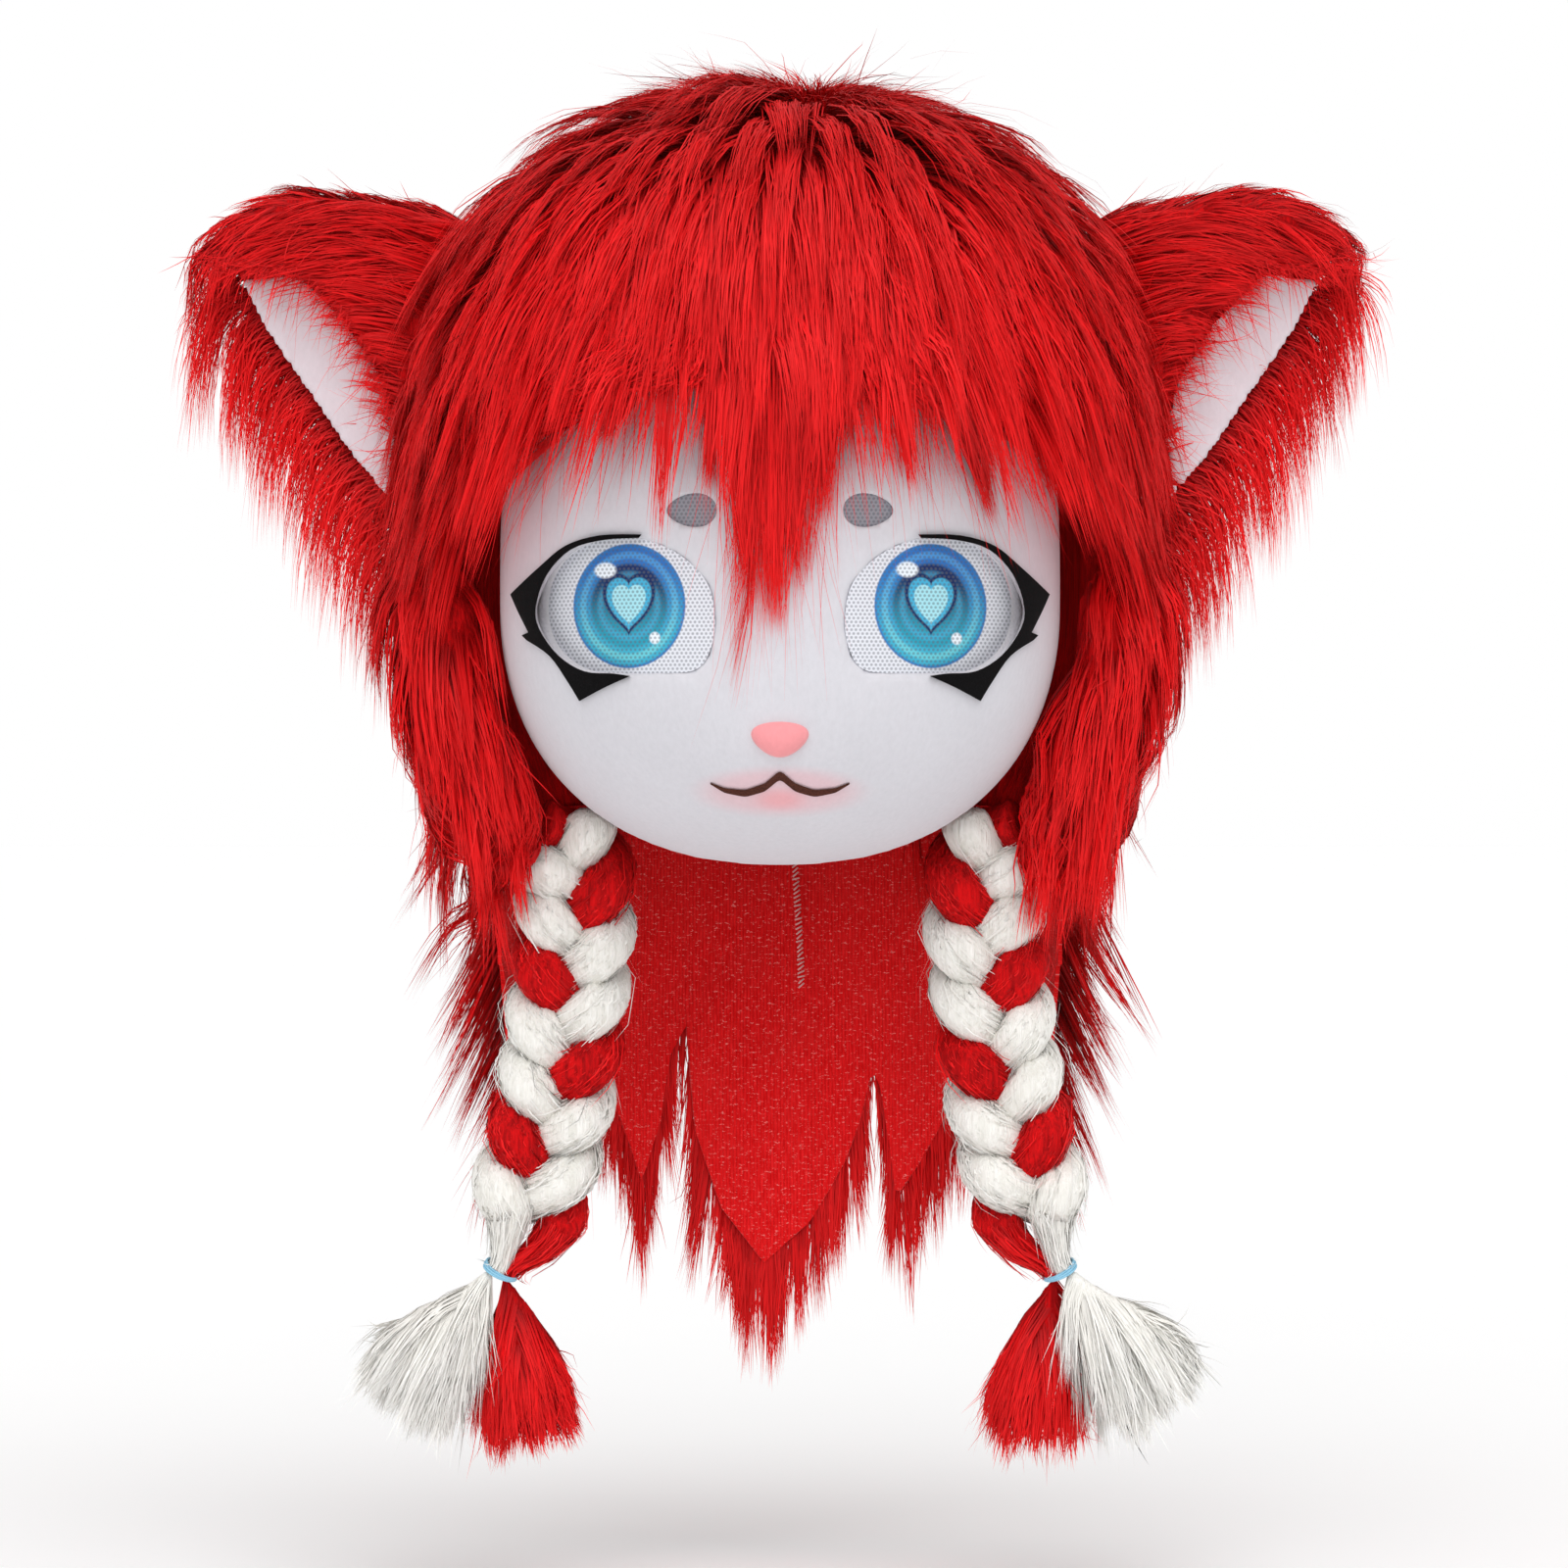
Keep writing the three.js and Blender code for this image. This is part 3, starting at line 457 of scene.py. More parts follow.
def bump(maths, shader, height, strength, distance):
    made = maths.node("ShaderNodeBump")
    made.inputs["Strength"].default_value = strength
    made.inputs["Distance"].default_value = distance
    maths.put(made.inputs["Height"], height)
    maths.tree.links.new(made.outputs[0], shader.inputs["Normal"])


COLOUR = "NodeSocketColor"
FLOAT = "NodeSocketFloat"


def build_hair_tone(maths, given, made):
    along = maths.attribute("along").outputs["Fac"]
    tone = maths.attribute("tone").outputs["Fac"]
    # The roots are darker than the tips as painted shade deep in the pile, and the lighter tips are a painted
    # highlight.
    lower = maths.blend(maths.step(along, 0.0, 0.45), given["Root"], given["Middle"])
    full = maths.blend(maths.step(along, 0.35, 1.0), lower, given["Tip"])
    # Painted shade: the hair on top of the head is darkened by the Crown share.
    _, _, height = maths.axes(maths.place())
    crown = maths.sub(1.0, maths.mul(maths.step(height, -0.05, 0.03), given["Crown"]))
    darker = maths.do("MULTIPLY_ADD", tone, given["Spread"], maths.sub(1.0, given["Spread"]))
    shade = maths.node("ShaderNodeHueSaturation")
    maths.put(shade.inputs["Color"], full)
    maths.put(shade.inputs["Value"], maths.mul(darker, crown))
    maths.put(made["Colour"], shade.outputs[0])


def build_short_pile(maths, given, made):
    place = maths.place()
    fine = maths.noise(place, 2600, 2.0, 0.6)
    brushed = maths.noise(maths.stretch(place, (1, 1, 0.55)), 520, 3.0, 0.6)
    patch = maths.noise(place, 26, 3.0, 0.5)
    height = maths.add(maths.mul(fine, 0.35), maths.mul(brushed, 0.65))
    maths.put(made["Height"], height)
    light = maths.add(maths.mul(brushed, 0.14), maths.mul(patch, 0.08))
    shade = maths.node("ShaderNodeHueSaturation")
    maths.put(shade.inputs["Color"], given["Colour"])
    maths.put(shade.inputs["Value"], maths.add(light, 0.9))
    maths.put(made["Colour"], shade.outputs[0])


def build_fibre(maths, given, made):
    place = maths.place()
    fine = maths.noise(maths.stretch(place, (1, 1, 0.07)), 900, 3.0, 0.6)
    wisp = maths.noise(maths.stretch(place, (1, 1, 0.12)), 240, 3.0, 0.55)
    height = maths.add(maths.mul(fine, 0.5), maths.mul(wisp, 0.5))
    maths.put(made["Height"], height)
    # Painted shade: the fibre's low streaks take the dark colour.
    maths.put(made["Colour"], maths.blend(maths.step(height, 0.35, 0.65), given["Dark"], given["Light"]))


HAIR_TONE = group(
    "hair_tone",
    [("Root", COLOUR, (0, 0, 0, 1)), ("Middle", COLOUR, (0, 0, 0, 1)), ("Tip", COLOUR, (0, 0, 0, 1)),
     ("Spread", FLOAT, 0.3), ("Crown", FLOAT, 0.0)],
    [("Colour", COLOUR)],
    build_hair_tone,
)
SHORT_PILE = group("short_pile", [("Colour", COLOUR, (1, 1, 1, 1))], [("Colour", COLOUR), ("Height", FLOAT)],
                   build_short_pile)
FIBRE = group("fibre", [("Dark", COLOUR, (0, 0, 0, 1)), ("Light", COLOUR, (1, 1, 1, 1))],
              [("Colour", COLOUR), ("Height", FLOAT)], build_fibre)


def hair_material(name, root, middle, tip, spread, sheen, crown=0.0):
    made, maths, shader = material(name, 0.55, sheen=sheen, specular=0.18)
    tone = use(maths, HAIR_TONE, root=root, middle=middle, tip=tip, spread=spread, crown=crown)
    maths.put(shader.inputs["Base Color"], tone[0])
    behind = maths.node("ShaderNodeNewGeometry").outputs["Backfacing"]
    turned = maths.node("ShaderNodeVectorMath", operation="SCALE")
    maths.put(turned.inputs[0], maths.attribute("lay").outputs["Vector"])
    maths.put(turned.inputs["Scale"], maths.do("MULTIPLY_ADD", behind, -2.0, 1.0))
    maths.put(shader.inputs["Normal"], turned.outputs[0])
    return made


# Under-pile colours are the fur's hue made darker than the hair, as painted shade deep in the pile, darkest
# in the low streaks of the fibre.
def under_material(name, dark, light):
    made, maths, shader = material(name, 0.8, specular=0.15)
    fibre = use(maths, FIBRE, dark=dark, light=light)
    maths.put(shader.inputs["Base Color"], fibre[0])
    bump(maths, shader, fibre[1], 0.8, 0.0025)
    return made


def pile_material(name, colour, tint=None):
    """Short brushed pile; tint(maths, colour) may paint over it."""
    made, maths, shader = material(name, 0.92, sheen=0.25, specular=0.12)
    base = tint(maths, colour) if tint else colour
    pile = use(maths, SHORT_PILE, colour=base)
    maths.put(shader.inputs["Base Color"], pile[0])
    bump(maths, shader, pile[1], 0.35, 0.0006)
    return made


def face_tint(maths, colour):
    """Airbrushed pink round the mouth, and a faint painted pink reflection of the red hair at the face's
    upper corners beside the fringe.
    """
    x, _, z = maths.axes(maths.place())
    far = maths.oval(x, z, (0.0, (MOUTH_Z - 2) * MM), (34 * MM, 10 * MM))
    soft = maths.mul(maths.step(far, 1.15, 0.6), 0.34)
    # Painted reflection: the red hair's pink light on the face's upper corners.
    hair_reflection_mask = maths.mul(maths.step(maths.do("ABSOLUTE", x), 78 * MM, 112 * MM), maths.step(z, -0.21, -0.12))
    with_hair_reflection = maths.blend(maths.mul(hair_reflection_mask, 0.45), colour, srgb(236, 160, 172))
    pink = maths.blend(soft, with_hair_reflection, srgb(240, 150, 160))
    near = maths.oval(x, z, (0.0, (MOUTH_Z - 5) * MM), (12 * MM, 5 * MM))
    return maths.blend(maths.mul(maths.step(near, 1.2, 0.2), 0.45), pink, srgb(242, 140, 145))


def felt_material(name, colour):
    made, maths, shader = material(name, 0.95, sheen=0.03, specular=0.05)
    place = maths.place()
    mat = maths.noise(place, 1500, 4.0, 0.7)
    maths.put(shader.inputs["Base Color"], maths.blend(maths.step(mat, 0.4, 0.8), colour, srgb(24, 23, 25)))
    bump(maths, shader, mat, 0.5, 0.0005)
    return made


def perforated(maths, x, z, colour):
    """Staggered holes of the see-through mesh, darker than its threads."""
    pitch = 1.75 * MM
    row = maths.mul(z, 1 / (pitch * 0.866))
    shift = maths.mul(maths.do("FLOORED_MODULO", maths.do("FLOOR", row), 2.0), 0.5)
    u = maths.sub(maths.do("FRACT", maths.add(maths.mul(x, 1 / pitch), shift)), 0.5)
    v = maths.mul(maths.sub(maths.do("FRACT", row), 0.5), 0.866)
    hole = maths.step(maths.far(u, v), 0.36, 0.24)
    thread = maths.sub(1.0, hole)
    return maths.blend(maths.mul(hole, 0.5), colour, (0.10, 0.11, 0.14, 1)), thread


def mesh_material(name, colour, side=None):
    """Perforated mesh; with a side, it carries the printed iris of that eye."""
    made, maths, shader = material(name, 0.6, specular=0.25)
    x, _, z = maths.axes(maths.place())
    base = colour
    if side is not None:
        base = iris_print(maths, x, z, side, colour)
    tone, height = perforated(maths, x, z, base)
    if side is not None:
        # A white rim on the outer side stands for the shell's white collar; it is painted brighter than the
        # face pile, a painted highlight on the rounded rim.
        out = maths.mul(maths.sub(maths.mul(x, side), EYE_SPACING / 2 * MM), 1 / (EYE_HALF_WIDTH * MM))
        up = maths.mul(maths.do("ABSOLUTE", maths.sub(z, EYE_Z * MM)), 1 / (EYE_HALF_HEIGHT * MM))
        wide = maths.do("POWER", maths.mul(maths.do("MAXIMUM", out, 0.0), 1 / 0.86), 2.2)
        rim = maths.step(maths.add(wide, maths.do("POWER", maths.mul(up, 1 / 1.03), 2.2)), 1.0, 1.04)
        tone = maths.blend(maths.mul(rim, maths.step(out, 0.0, 0.1)), tone, srgb(252, 252, 255))
    maths.put(shader.inputs["Base Color"], tone)
    bump(maths, shader, height, 0.5, 0.0004)
    return made


def heart(maths, u, v, size):
    """Below 0 inside a plain heart of half width size, above 0 outside."""
    p = maths.mul(maths.do("ABSOLUTE", u), 1 / size)
    q = maths.sub(maths.mul(v, 1 / size), -0.12)
    top = maths.sub(q, maths.mul(maths.do("SQRT", p), 0.62))
    return maths.sub(maths.add(maths.mul(p, p), maths.mul(maths.mul(top, top), 1.15)), 1.0)


def iris_print(maths, x, z, side, ground):
    """A printed iris of plain graded rings with a plain heart for its pupil and two soft lights."""
    u = maths.mul(maths.sub(x, side * IRIS_X * MM), 1 / (IRIS_HALF_WIDTH * MM))
    v = maths.mul(maths.sub(z, IRIS_Z * MM), 1 / (IRIS_HALF_HEIGHT * MM))
    far = maths.far(u, v)
    depth = maths.step(v, 0.8, -0.8)
    body = maths.blend(depth, srgb(46, 112, 190), srgb(64, 178, 208))
    rings = maths.mul(maths.step(far, 0.74, 0.79), maths.step(far, 0.9, 0.85))
    ring_tone = maths.blend(depth, srgb(84, 160, 222), srgb(120, 214, 224))
    body = maths.blend(maths.mul(rings, 0.7), body, ring_tone)
    inner = maths.blend(maths.step(v, 0.55, -0.6), srgb(22, 44, 96), srgb(40, 158, 186))
    body = maths.blend(maths.step(far, 0.72, 0.64), body, inner)
    glow = maths.mul(maths.step(far, 0.4, 0.5), maths.step(far, 0.6, 0.52))
    body = maths.blend(maths.mul(glow, 0.45), body, srgb(82, 180, 222))
    body = maths.blend(maths.step(far, 0.93, 0.985), body, srgb(52, 124, 192))
    for size, colour in ((0.47, srgb(18, 40, 92)), (0.40, srgb(70, 176, 216)), (0.30, srgb(168, 226, 238))):
        body = maths.blend(maths.step(heart(maths, u, v, size), 0.1, -0.1), body, colour)
    for middle, half in (((-0.42, 0.58), (0.2, 0.13)), ((0.46, -0.52), (0.1, 0.1))):
        light = maths.step(maths.oval(u, v, middle, half), 1.15, 0.75)
        body = maths.blend(light, body, srgb(236, 244, 252))
    return maths.blend(maths.step(far, 0.985, 1.015), body, ground)


def knit_material(name):
    """Rib knit: fine wales down the flap, pale flecks and soft creases."""
    made, maths, shader = material(name, 0.9, sheen=0.12, specular=0.12)
    cloth = maths.attribute("cloth").outputs["Vector"]
    across, down, _ = maths.axes(cloth)
    wale = maths.do("SINE", maths.mul(across, 2 * math.pi / 1.45))
    course = maths.do("SINE", maths.mul(down, 2 * math.pi / 1.1))
    slub = maths.noise(maths.stretch(cloth, (1.0, 0.16, 1)), 0.9, 4.0, 0.7)
    fleck = maths.step(maths.noise(maths.stretch(cloth, (0.45, 0.95, 1)), 0.85, 3.0, 0.85), 0.57, 0.67)
    patch = maths.noise(cloth, 0.03, 3.0, 0.6)
    base = maths.blend(maths.step(slub, 0.35, 0.7), srgb(232, 8, 14), srgb(255, 34, 38))
    # Painted shade: the grooves between the wales are darkened.
    base = maths.blend(maths.mul(maths.step(wale, 0.2, -1.0), 0.3), base, srgb(160, 4, 8))
    base = maths.blend(maths.mul(fleck, 0.85), base, srgb(255, 150, 146))
    base = maths.blend(maths.mul(maths.step(patch, 0.45, 0.7), 0.25), base, srgb(235, 40, 40))
    maths.put(shader.inputs["Base Color"], base)
    relief = maths.add(maths.mul(wale, 0.5), maths.add(maths.mul(course, 0.2), maths.mul(slub, 0.6)))
    bump(maths, shader, relief, 0.5, 0.0005)
    return made


def thread_material(name, dark, light):
    made, maths, shader = material(name, 0.6, sheen=0.1, specular=0.3)
    ply = maths.noise(maths.place(), 1800, 3.0, 0.6)
    maths.put(shader.inputs["Base Color"], maths.blend(ply, dark, light))
    bump(maths, shader, ply, 0.4, 0.0003)
    return made


# Hair colours: the darker roots are painted shade deep in the pile, and the lighter tips are a painted
# highlight.
RED_ROOT = srgb(196, 0, 6)
RED_MIDDLE = srgb(247, 12, 18)
RED_TIP = srgb(255, 26, 28)
WHITE_ROOT = srgb(244, 242, 236)
WHITE_MIDDLE = srgb(248, 246, 240)
WHITE_TIP = srgb(254, 253, 250)
finish = {
    # The red hair's crown share darkens the top of the head as painted shade.
    "red_hair": hair_material("red_long_pile", RED_ROOT, RED_MIDDLE, RED_TIP, 0.28, 0.03, crown=0.2),
    "white_hair": hair_material("white_long_pile", WHITE_ROOT, WHITE_MIDDLE, WHITE_TIP, 0.06, 0.15),
    "red_under": under_material("red_under_pile", srgb(150, 0, 4), srgb(222, 8, 14)),
    "white_under": under_material("white_under_pile", srgb(232, 230, 222), srgb(250, 248, 243)),
    "face": pile_material("white_face_pile", srgb(211, 210, 216), face_tint),
    "lining": pile_material("white_ear_pile", srgb(216, 206, 212)),
    "felt": felt_material("black_felt", srgb(12, 11, 12)),
    "mouth": felt_material("brown_mouth_line", srgb(88, 50, 40)),
    "nose": pile_material("pink_flock", srgb(238, 152, 156)),
    "brow_mesh": mesh_material("grey_brow_mesh", srgb(150, 152, 160)),
    "eye_left": mesh_material("printed_eye_mesh_left", srgb(226, 228, 236), 1),
    "eye_right": mesh_material("printed_eye_mesh_right", srgb(226, 228, 236), -1),
    "knit": knit_material("red_rib_knit"),
    "stitch": thread_material("pale_overlock_thread", srgb(232, 160, 160), srgb(252, 214, 212)),
    "elastic": thread_material("light_blue_elastic", srgb(112, 180, 215), srgb(170, 220, 240)),
}


# Plates cut to an outline, as felt, mesh and the mouth's line are
def prism(outline):
    """A closed prism along Y over an outline of x and z, from before the head to its middle."""
    mesh = bpy.data.meshes.new("cutter")
    count = len(outline)
    rings = [[(x * MM, y * MM, z * MM) for x, z in outline] for y in (-400, 0)]
    faces = [list(range(count)), list(range(2 * count - 1, count - 1, -1))]
    faces += [[(i + 1) % count, i, count + i, count + (i + 1) % count] for i in range(count)]
    mesh.from_pydata(rings[0] + rings[1], [], faces)
    return outward(placed("cutter", mesh))


def combine(piece, other, operation):
    modify(piece, "BOOLEAN", operation=operation, object=other, solver="EXACT")
    bpy.data.objects.remove(other)
    return piece


def sheet_over(outline, margin, spacing, front):
    """A grid over an outline's window that follows a surface y(x, z)."""
    outline = np.array(outline)
    low, high = outline.min(0) - margin, outline.max(0) + margin
    cells = np.maximum(2, np.ceil((high - low) / spacing)).astype(int)
    piece = added(bpy.ops.mesh.primitive_grid_add, x_subdivisions=int(cells[0]),
                  y_subdivisions=int(cells[1]), size=2)

    def rule(co):
        unit = co * MM
        x = mix(low[0], high[0], (unit[:, 0] + 1) / 2)
        z = mix(low[1], high[1], (unit[:, 1] + 1) / 2)
        return np.stack([x, front(x, z), z], 1)

    return reshape(piece, rule)


def slab(outline, margin, spacing, front, thickness):
    """A wall behind a surface y(x, z), cut to an outline."""
    piece = sheet_over(outline, margin, spacing, front)
    faces_front = piece.data.polygons[0].normal.y < 0
    modify(piece, "SOLIDIFY", thickness=thickness * MM, offset=-1 if faces_front else 1)
    return combine(outward(piece), prism(outline), "INTERSECT")


def cut_plate(name, outline, front, thickness, finish_name, edge=0.0, spacing=2.0):
    piece = outward(slab(outline, 3, spacing, front, thickness))
    if edge:
        modify(piece, "BEVEL", width=edge * MM, segments=2, limit_method="ANGLE",
               angle_limit=math.radians(50), harden_normals=False)
    named(piece, name, finish[finish_name])
    return smooth_shade(piece, 40)


EYE_ROWS = [(0.07, 1.0), (0.48, 0.91), (0.82, 0.54), (1.0, 0.02), (0.91, -0.46), (0.65, -0.82), (0.37, -0.97),
            (-0.42, -1.0), (-0.79, -0.95), (-0.94, -0.7), (-1.0, -0.25), (-0.92, 0.31), (-0.62, 0.74),
            (-0.25, 0.97)]
LASH_ROWS = [(-0.2, 1.07), (0.27, 1.07), (0.66, 0.93), (0.96, 0.63), (1.32, 0.23), (1.23, -0.03),
             (1.1, -0.37), (1.18, -0.41), (1.12, -0.49), (0.85, -0.74), (0.64, -1.14), (0.51, -1.43),
             (0.22, -1.23), (-0.07, -1.06), (0.12, -1.02), (0.45, -0.98), (0.75, -0.73), (0.97, -0.32),
             (1.01, 0.02), (0.88, 0.5), (0.6, 0.87), (0.22, 1.0), (-0.17, 1.02)]
LASH_CORNERS = (0, 4, 6, 7, 8, 11, 13, 22)
MOUTH_ROWS = [(-1.0, 0.25), (-0.8, -0.35), (-0.5, -0.62), (-0.22, -0.1), (0, 1.0), (0.22, -0.1), (0.5, -0.62),
              (0.8, -0.35), (1.0, 0.25)]


def eye_point(side, outward_share, up_share):
    return [side * (EYE_SPACING / 2 + outward_share * EYE_HALF_WIDTH), EYE_Z + up_share * EYE_HALF_HEIGHT]


def eye_outline(side):
    return smooth_outline([eye_point(side, *row) for row in EYE_ROWS], 6)


def lash_outline(side):
    """The lash line's outline, curved between its sharp corners."""
    points = np.array([eye_point(side, *row) for row in LASH_ROWS])
    count, result = len(points), []
    for i in range(count):
        b, c = points[i], points[(i + 1) % count]
        a = b if i in LASH_CORNERS else points[i - 1]
        d = c if (i + 1) % count in LASH_CORNERS else points[(i + 2) % count]
        for t in (0, 0.25, 0.5, 0.75):
            result.append(b + 0.5 * t * ((c - a) + t * (2 * a - 5 * b + 4 * c - d)
                                         + t * t * (3 * b - 3 * c + d - a)))
    return result


def eye_recess(x):
    share = np.clip((np.abs(x) - EYE_SPACING / 2 + EYE_HALF_WIDTH) / (2 * EYE_HALF_WIDTH), 0, 1)
    return mix(EYE_INNER_RECESS, EYE_OUTER_RECESS, share**1.6)


def brow_outline(side):
    angles = np.linspace(0, 2 * np.pi, 40, endpoint=False)
    egg = 1 - 0.18 * np.cos(angles)
    x = side * (BROW_SPACING / 2 + BROW_HALF_WIDTH * np.cos(angles))
    return np.stack([x, BROW_Z + BROW_HALF_HEIGHT * egg * np.sin(angles)], 1)


# Face shell: one smooth form with rounded, pile-wrapped holes
def make_face():
    piece = added(bpy.ops.mesh.primitive_uv_sphere_add, segments=120, ring_count=72, radius=1)

    def rule(co):
        unit = co * MM
        x0, y0, z0 = unit[:, 0], unit[:, 2], unit[:, 1]
        angle = np.arctan2(z0, x0)
        away = np.hypot(x0, z0)
        radius = outline_radius(angle) * away ** (2 / OUTLINE_POWER)
        x = radius * np.cos(angle)
        z = WIDEST_Z + radius * np.sin(angle)
        reach = np.where(y0 < 0, FACE_DEPTH, SKULL_DEPTH) * np.abs(y0) ** (2 / DEPTH_POWER)
        y = np.where(y0 < 0, WIDEST_Y - reach - muzzle_relief(x, z), WIDEST_Y + reach)
        return np.stack([x, y, z], 1)

    reshape(piece, rule)
    outward(piece)
    slope = (RIM_TOP_Y - RIM_CHIN_Y) / (RIM_TOP_Z - CHIN_Z)
    for point, normal in (((0, RIM_TOP_Y * MM, 0), (0, 1, 0)),
                          ((0, RIM_TOP_Y * MM, RIM_TOP_Z * MM), (0, 1, -slope))):
        in_edit(piece, lambda: bpy.ops.mesh.bisect(plane_co=point, plane_no=normal, clear_outer=True))
    modify(piece, "SOLIDIFY", thickness=(SHELL_WALL + PILE_DEPTH) * MM, offset=-1, use_even_offset=True)
    joined(piece, [slab(offset_outline(eye_outline(side), EYE_COLLAR), 2, 2.0,
                        lambda x, z: face_y(x, z, -0.6), COLLAR_DEPTH) for _, side in SIDES])
    modify(piece, "REMESH", mode="VOXEL", voxel_size=FACE_VOXEL * MM, adaptivity=0.0)
    for _, side in SIDES:
        combine(piece, prism(eye_outline(side)), "DIFFERENCE")
    modify(piece, "REMESH", mode="VOXEL", voxel_size=FACE_VOXEL * MM, adaptivity=0.0)
    modify(piece, "SMOOTH", factor=0.5, iterations=6)
    for _, side in SIDES:
        combine(piece, prism(brow_outline(side)), "DIFFERENCE")
    named(piece, "face_shell_pile", finish["face"])
    smooth_shade(piece)
    return seat(piece, "white_pile", "face_shell")


face = make_face()


def make_face_trim():
    for name, side in SIDES:
        eye = cut_plate("eye_print_" + name, offset_outline(eye_outline(side), 0.6),
                        lambda x, z: face_y(x, z, -eye_recess(x)), EYE_MESH_THICKNESS, "eye_" + name)
        seat(eye, "eye_mesh", "eye_mesh_" + name)
        brow = cut_plate("brow_vent_" + name, offset_outline(brow_outline(side), 0.4),
                         lambda x, z: face_y(x, z, -BROW_RECESS - 0.3), BROW_MESH_THICKNESS, "brow_mesh")
        seat(brow, "brow_mesh", "brow_mesh_" + name)
        lash = cut_plate("lash_felt_" + name, lash_outline(side),
                         lambda x, z: face_y(x, z, GAP + LASH_THICKNESS), LASH_THICKNESS + 0.6, "felt",
                         edge=0.5, spacing=2.5)
        seat(lash, "black_felt", "lash_" + name)


def mouth_outline():
    line = [[across * MOUTH_HALF_WIDTH, MOUTH_Z + up * MOUTH_RISE] for across, up in MOUTH_ROWS]
    fine = np.linspace(0, len(line) - 1, 65)
    x, z = read_off(line, fine).T
    z = eased(z, 3)
    half = MOUTH_LINE / 2 * (1 - 0.8 * np.abs(fine / 4 - 1) ** 2)
    return np.vstack([np.stack([x, z + half], 1), np.stack([x, z - half], 1)[::-1]])


def make_mouth():
    piece = cut_plate("mouth_line", mouth_outline(), lambda x, z: face_y(x, z, 0.5), 1.4, "mouth")
    seat(piece, "black_felt")


def make_nose():
    piece = added(bpy.ops.mesh.primitive_uv_sphere_add, segments=48, ring_count=32, radius=1)
    middle = float(face_y(np.array([0.0]), np.array([float(NOSE_Z)]))[0]) + 1

    def rule(co):
        unit = co * MM
        broad = 1 + 0.28 * unit[:, 2]
        flat = np.where(unit[:, 2] > 0, 0.92, 1.0)
        return np.stack([unit[:, 0] * NOSE_HALF_WIDTH * broad, middle + unit[:, 1] * NOSE_RISE,
                         NOSE_Z + unit[:, 2] * NOSE_HALF_HEIGHT * flat], 1)

    reshape(piece, rule)
    named(piece, "nose_flock", finish["nose"])
    smooth_shade(piece)
    return seat(piece, "pink_flock", "nose")


make_face_trim()
make_mouth()
make_nose()


# Soft forms under the long pile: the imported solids, rounded and drawn in
def under_form(node, name, voxel, sink, finish_name="red_under", slot="red_fur", rounds=6, rule=None,
               cut=None):
    """A node's form in voxels of a size, smoothed and drawn in; rule() and cut change it first."""
    piece = placed(name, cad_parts[node].data.copy())
    piece.data.transform(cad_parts[node].matrix_world)
    outward(piece)
    if rule:
        reshape(piece, rule)
    if cut:
        in_edit(piece, lambda: bpy.ops.mesh.bisect(plane_co=cut[0], plane_no=cut[1], use_fill=True,
                                                   clear_outer=True))
    modify(piece, "REMESH", mode="VOXEL", voxel_size=voxel * MM, adaptivity=0.0)
    modify(piece, "SMOOTH", factor=0.5, iterations=rounds)
    modify(piece, "DISPLACE", strength=-sink * MM, mid_level=0.0, direction="NORMAL")
    named(piece, name, finish[finish_name])
    smooth_shade(piece)
    return seat(piece, slot, node)


# Long pile: guide hairs are combed over a form, and tapered hairs follow them in locks
def tree_of(*pieces):
    vertices, faces = [], []
    for piece in pieces:
        start = len(vertices)
        vertices += [Vector(v) for v in places(piece.data)]
        faces += [[start + i for i in polygon.vertices] for polygon in piece.data.polygons]
    return BVHTree.FromPolygons(vertices, faces)


def nearest(tree, points):
    """The nearest place and its normal for each point."""
    found = np.empty((len(points), 2, 3))
    for i, point in enumerate(points):
        place, normal, _, _ = tree.find_nearest(point)
        found[i, 0] = place
        found[i, 1] = normal
    return found[:, 0], found[:, 1]


def unit(vectors):
    return vectors / np.maximum(np.linalg.norm(vectors, axis=-1, keepdims=True), 1e-9)


def scatter(piece, count, rng, keep):
    """Random roots on a form, more where keep() is larger, with the form's smooth normals."""
    mesh = piece.data
    mesh.calc_loop_triangles()
    corners = np.empty(len(mesh.loop_triangles) * 3, np.int32)
    mesh.loop_triangles.foreach_get("vertices", corners)
    corners = corners.reshape(-1, 3)
    co = places(mesh)
    bent = np.empty(len(co) * 3, np.float32)
    mesh.vertices.foreach_get("normal", bent)
    bent = bent.reshape(-1, 3).astype(float)
    a, b, c = (co[corners[:, i]] for i in range(3))
    cross = np.cross(b - a, c - a)
    weight = np.linalg.norm(cross, axis=1) * keep((a + b + c) / 3 / MM, unit(cross))
    pick = rng.choice(len(weight), count, p=weight / weight.sum())
    u, v = rng.random((2, count))
    flip = u + v > 1
    u, v = np.where(flip, 1 - u, u)[:, None], np.where(flip, 1 - v, v)[:, None]
    root = a[pick] * (1 - u - v) + b[pick] * u + c[pick] * v
    normal = sum(bent[corners[pick, i]] * w for i, w in enumerate((1 - u - v, u, v)))
    return root, unit(normal)


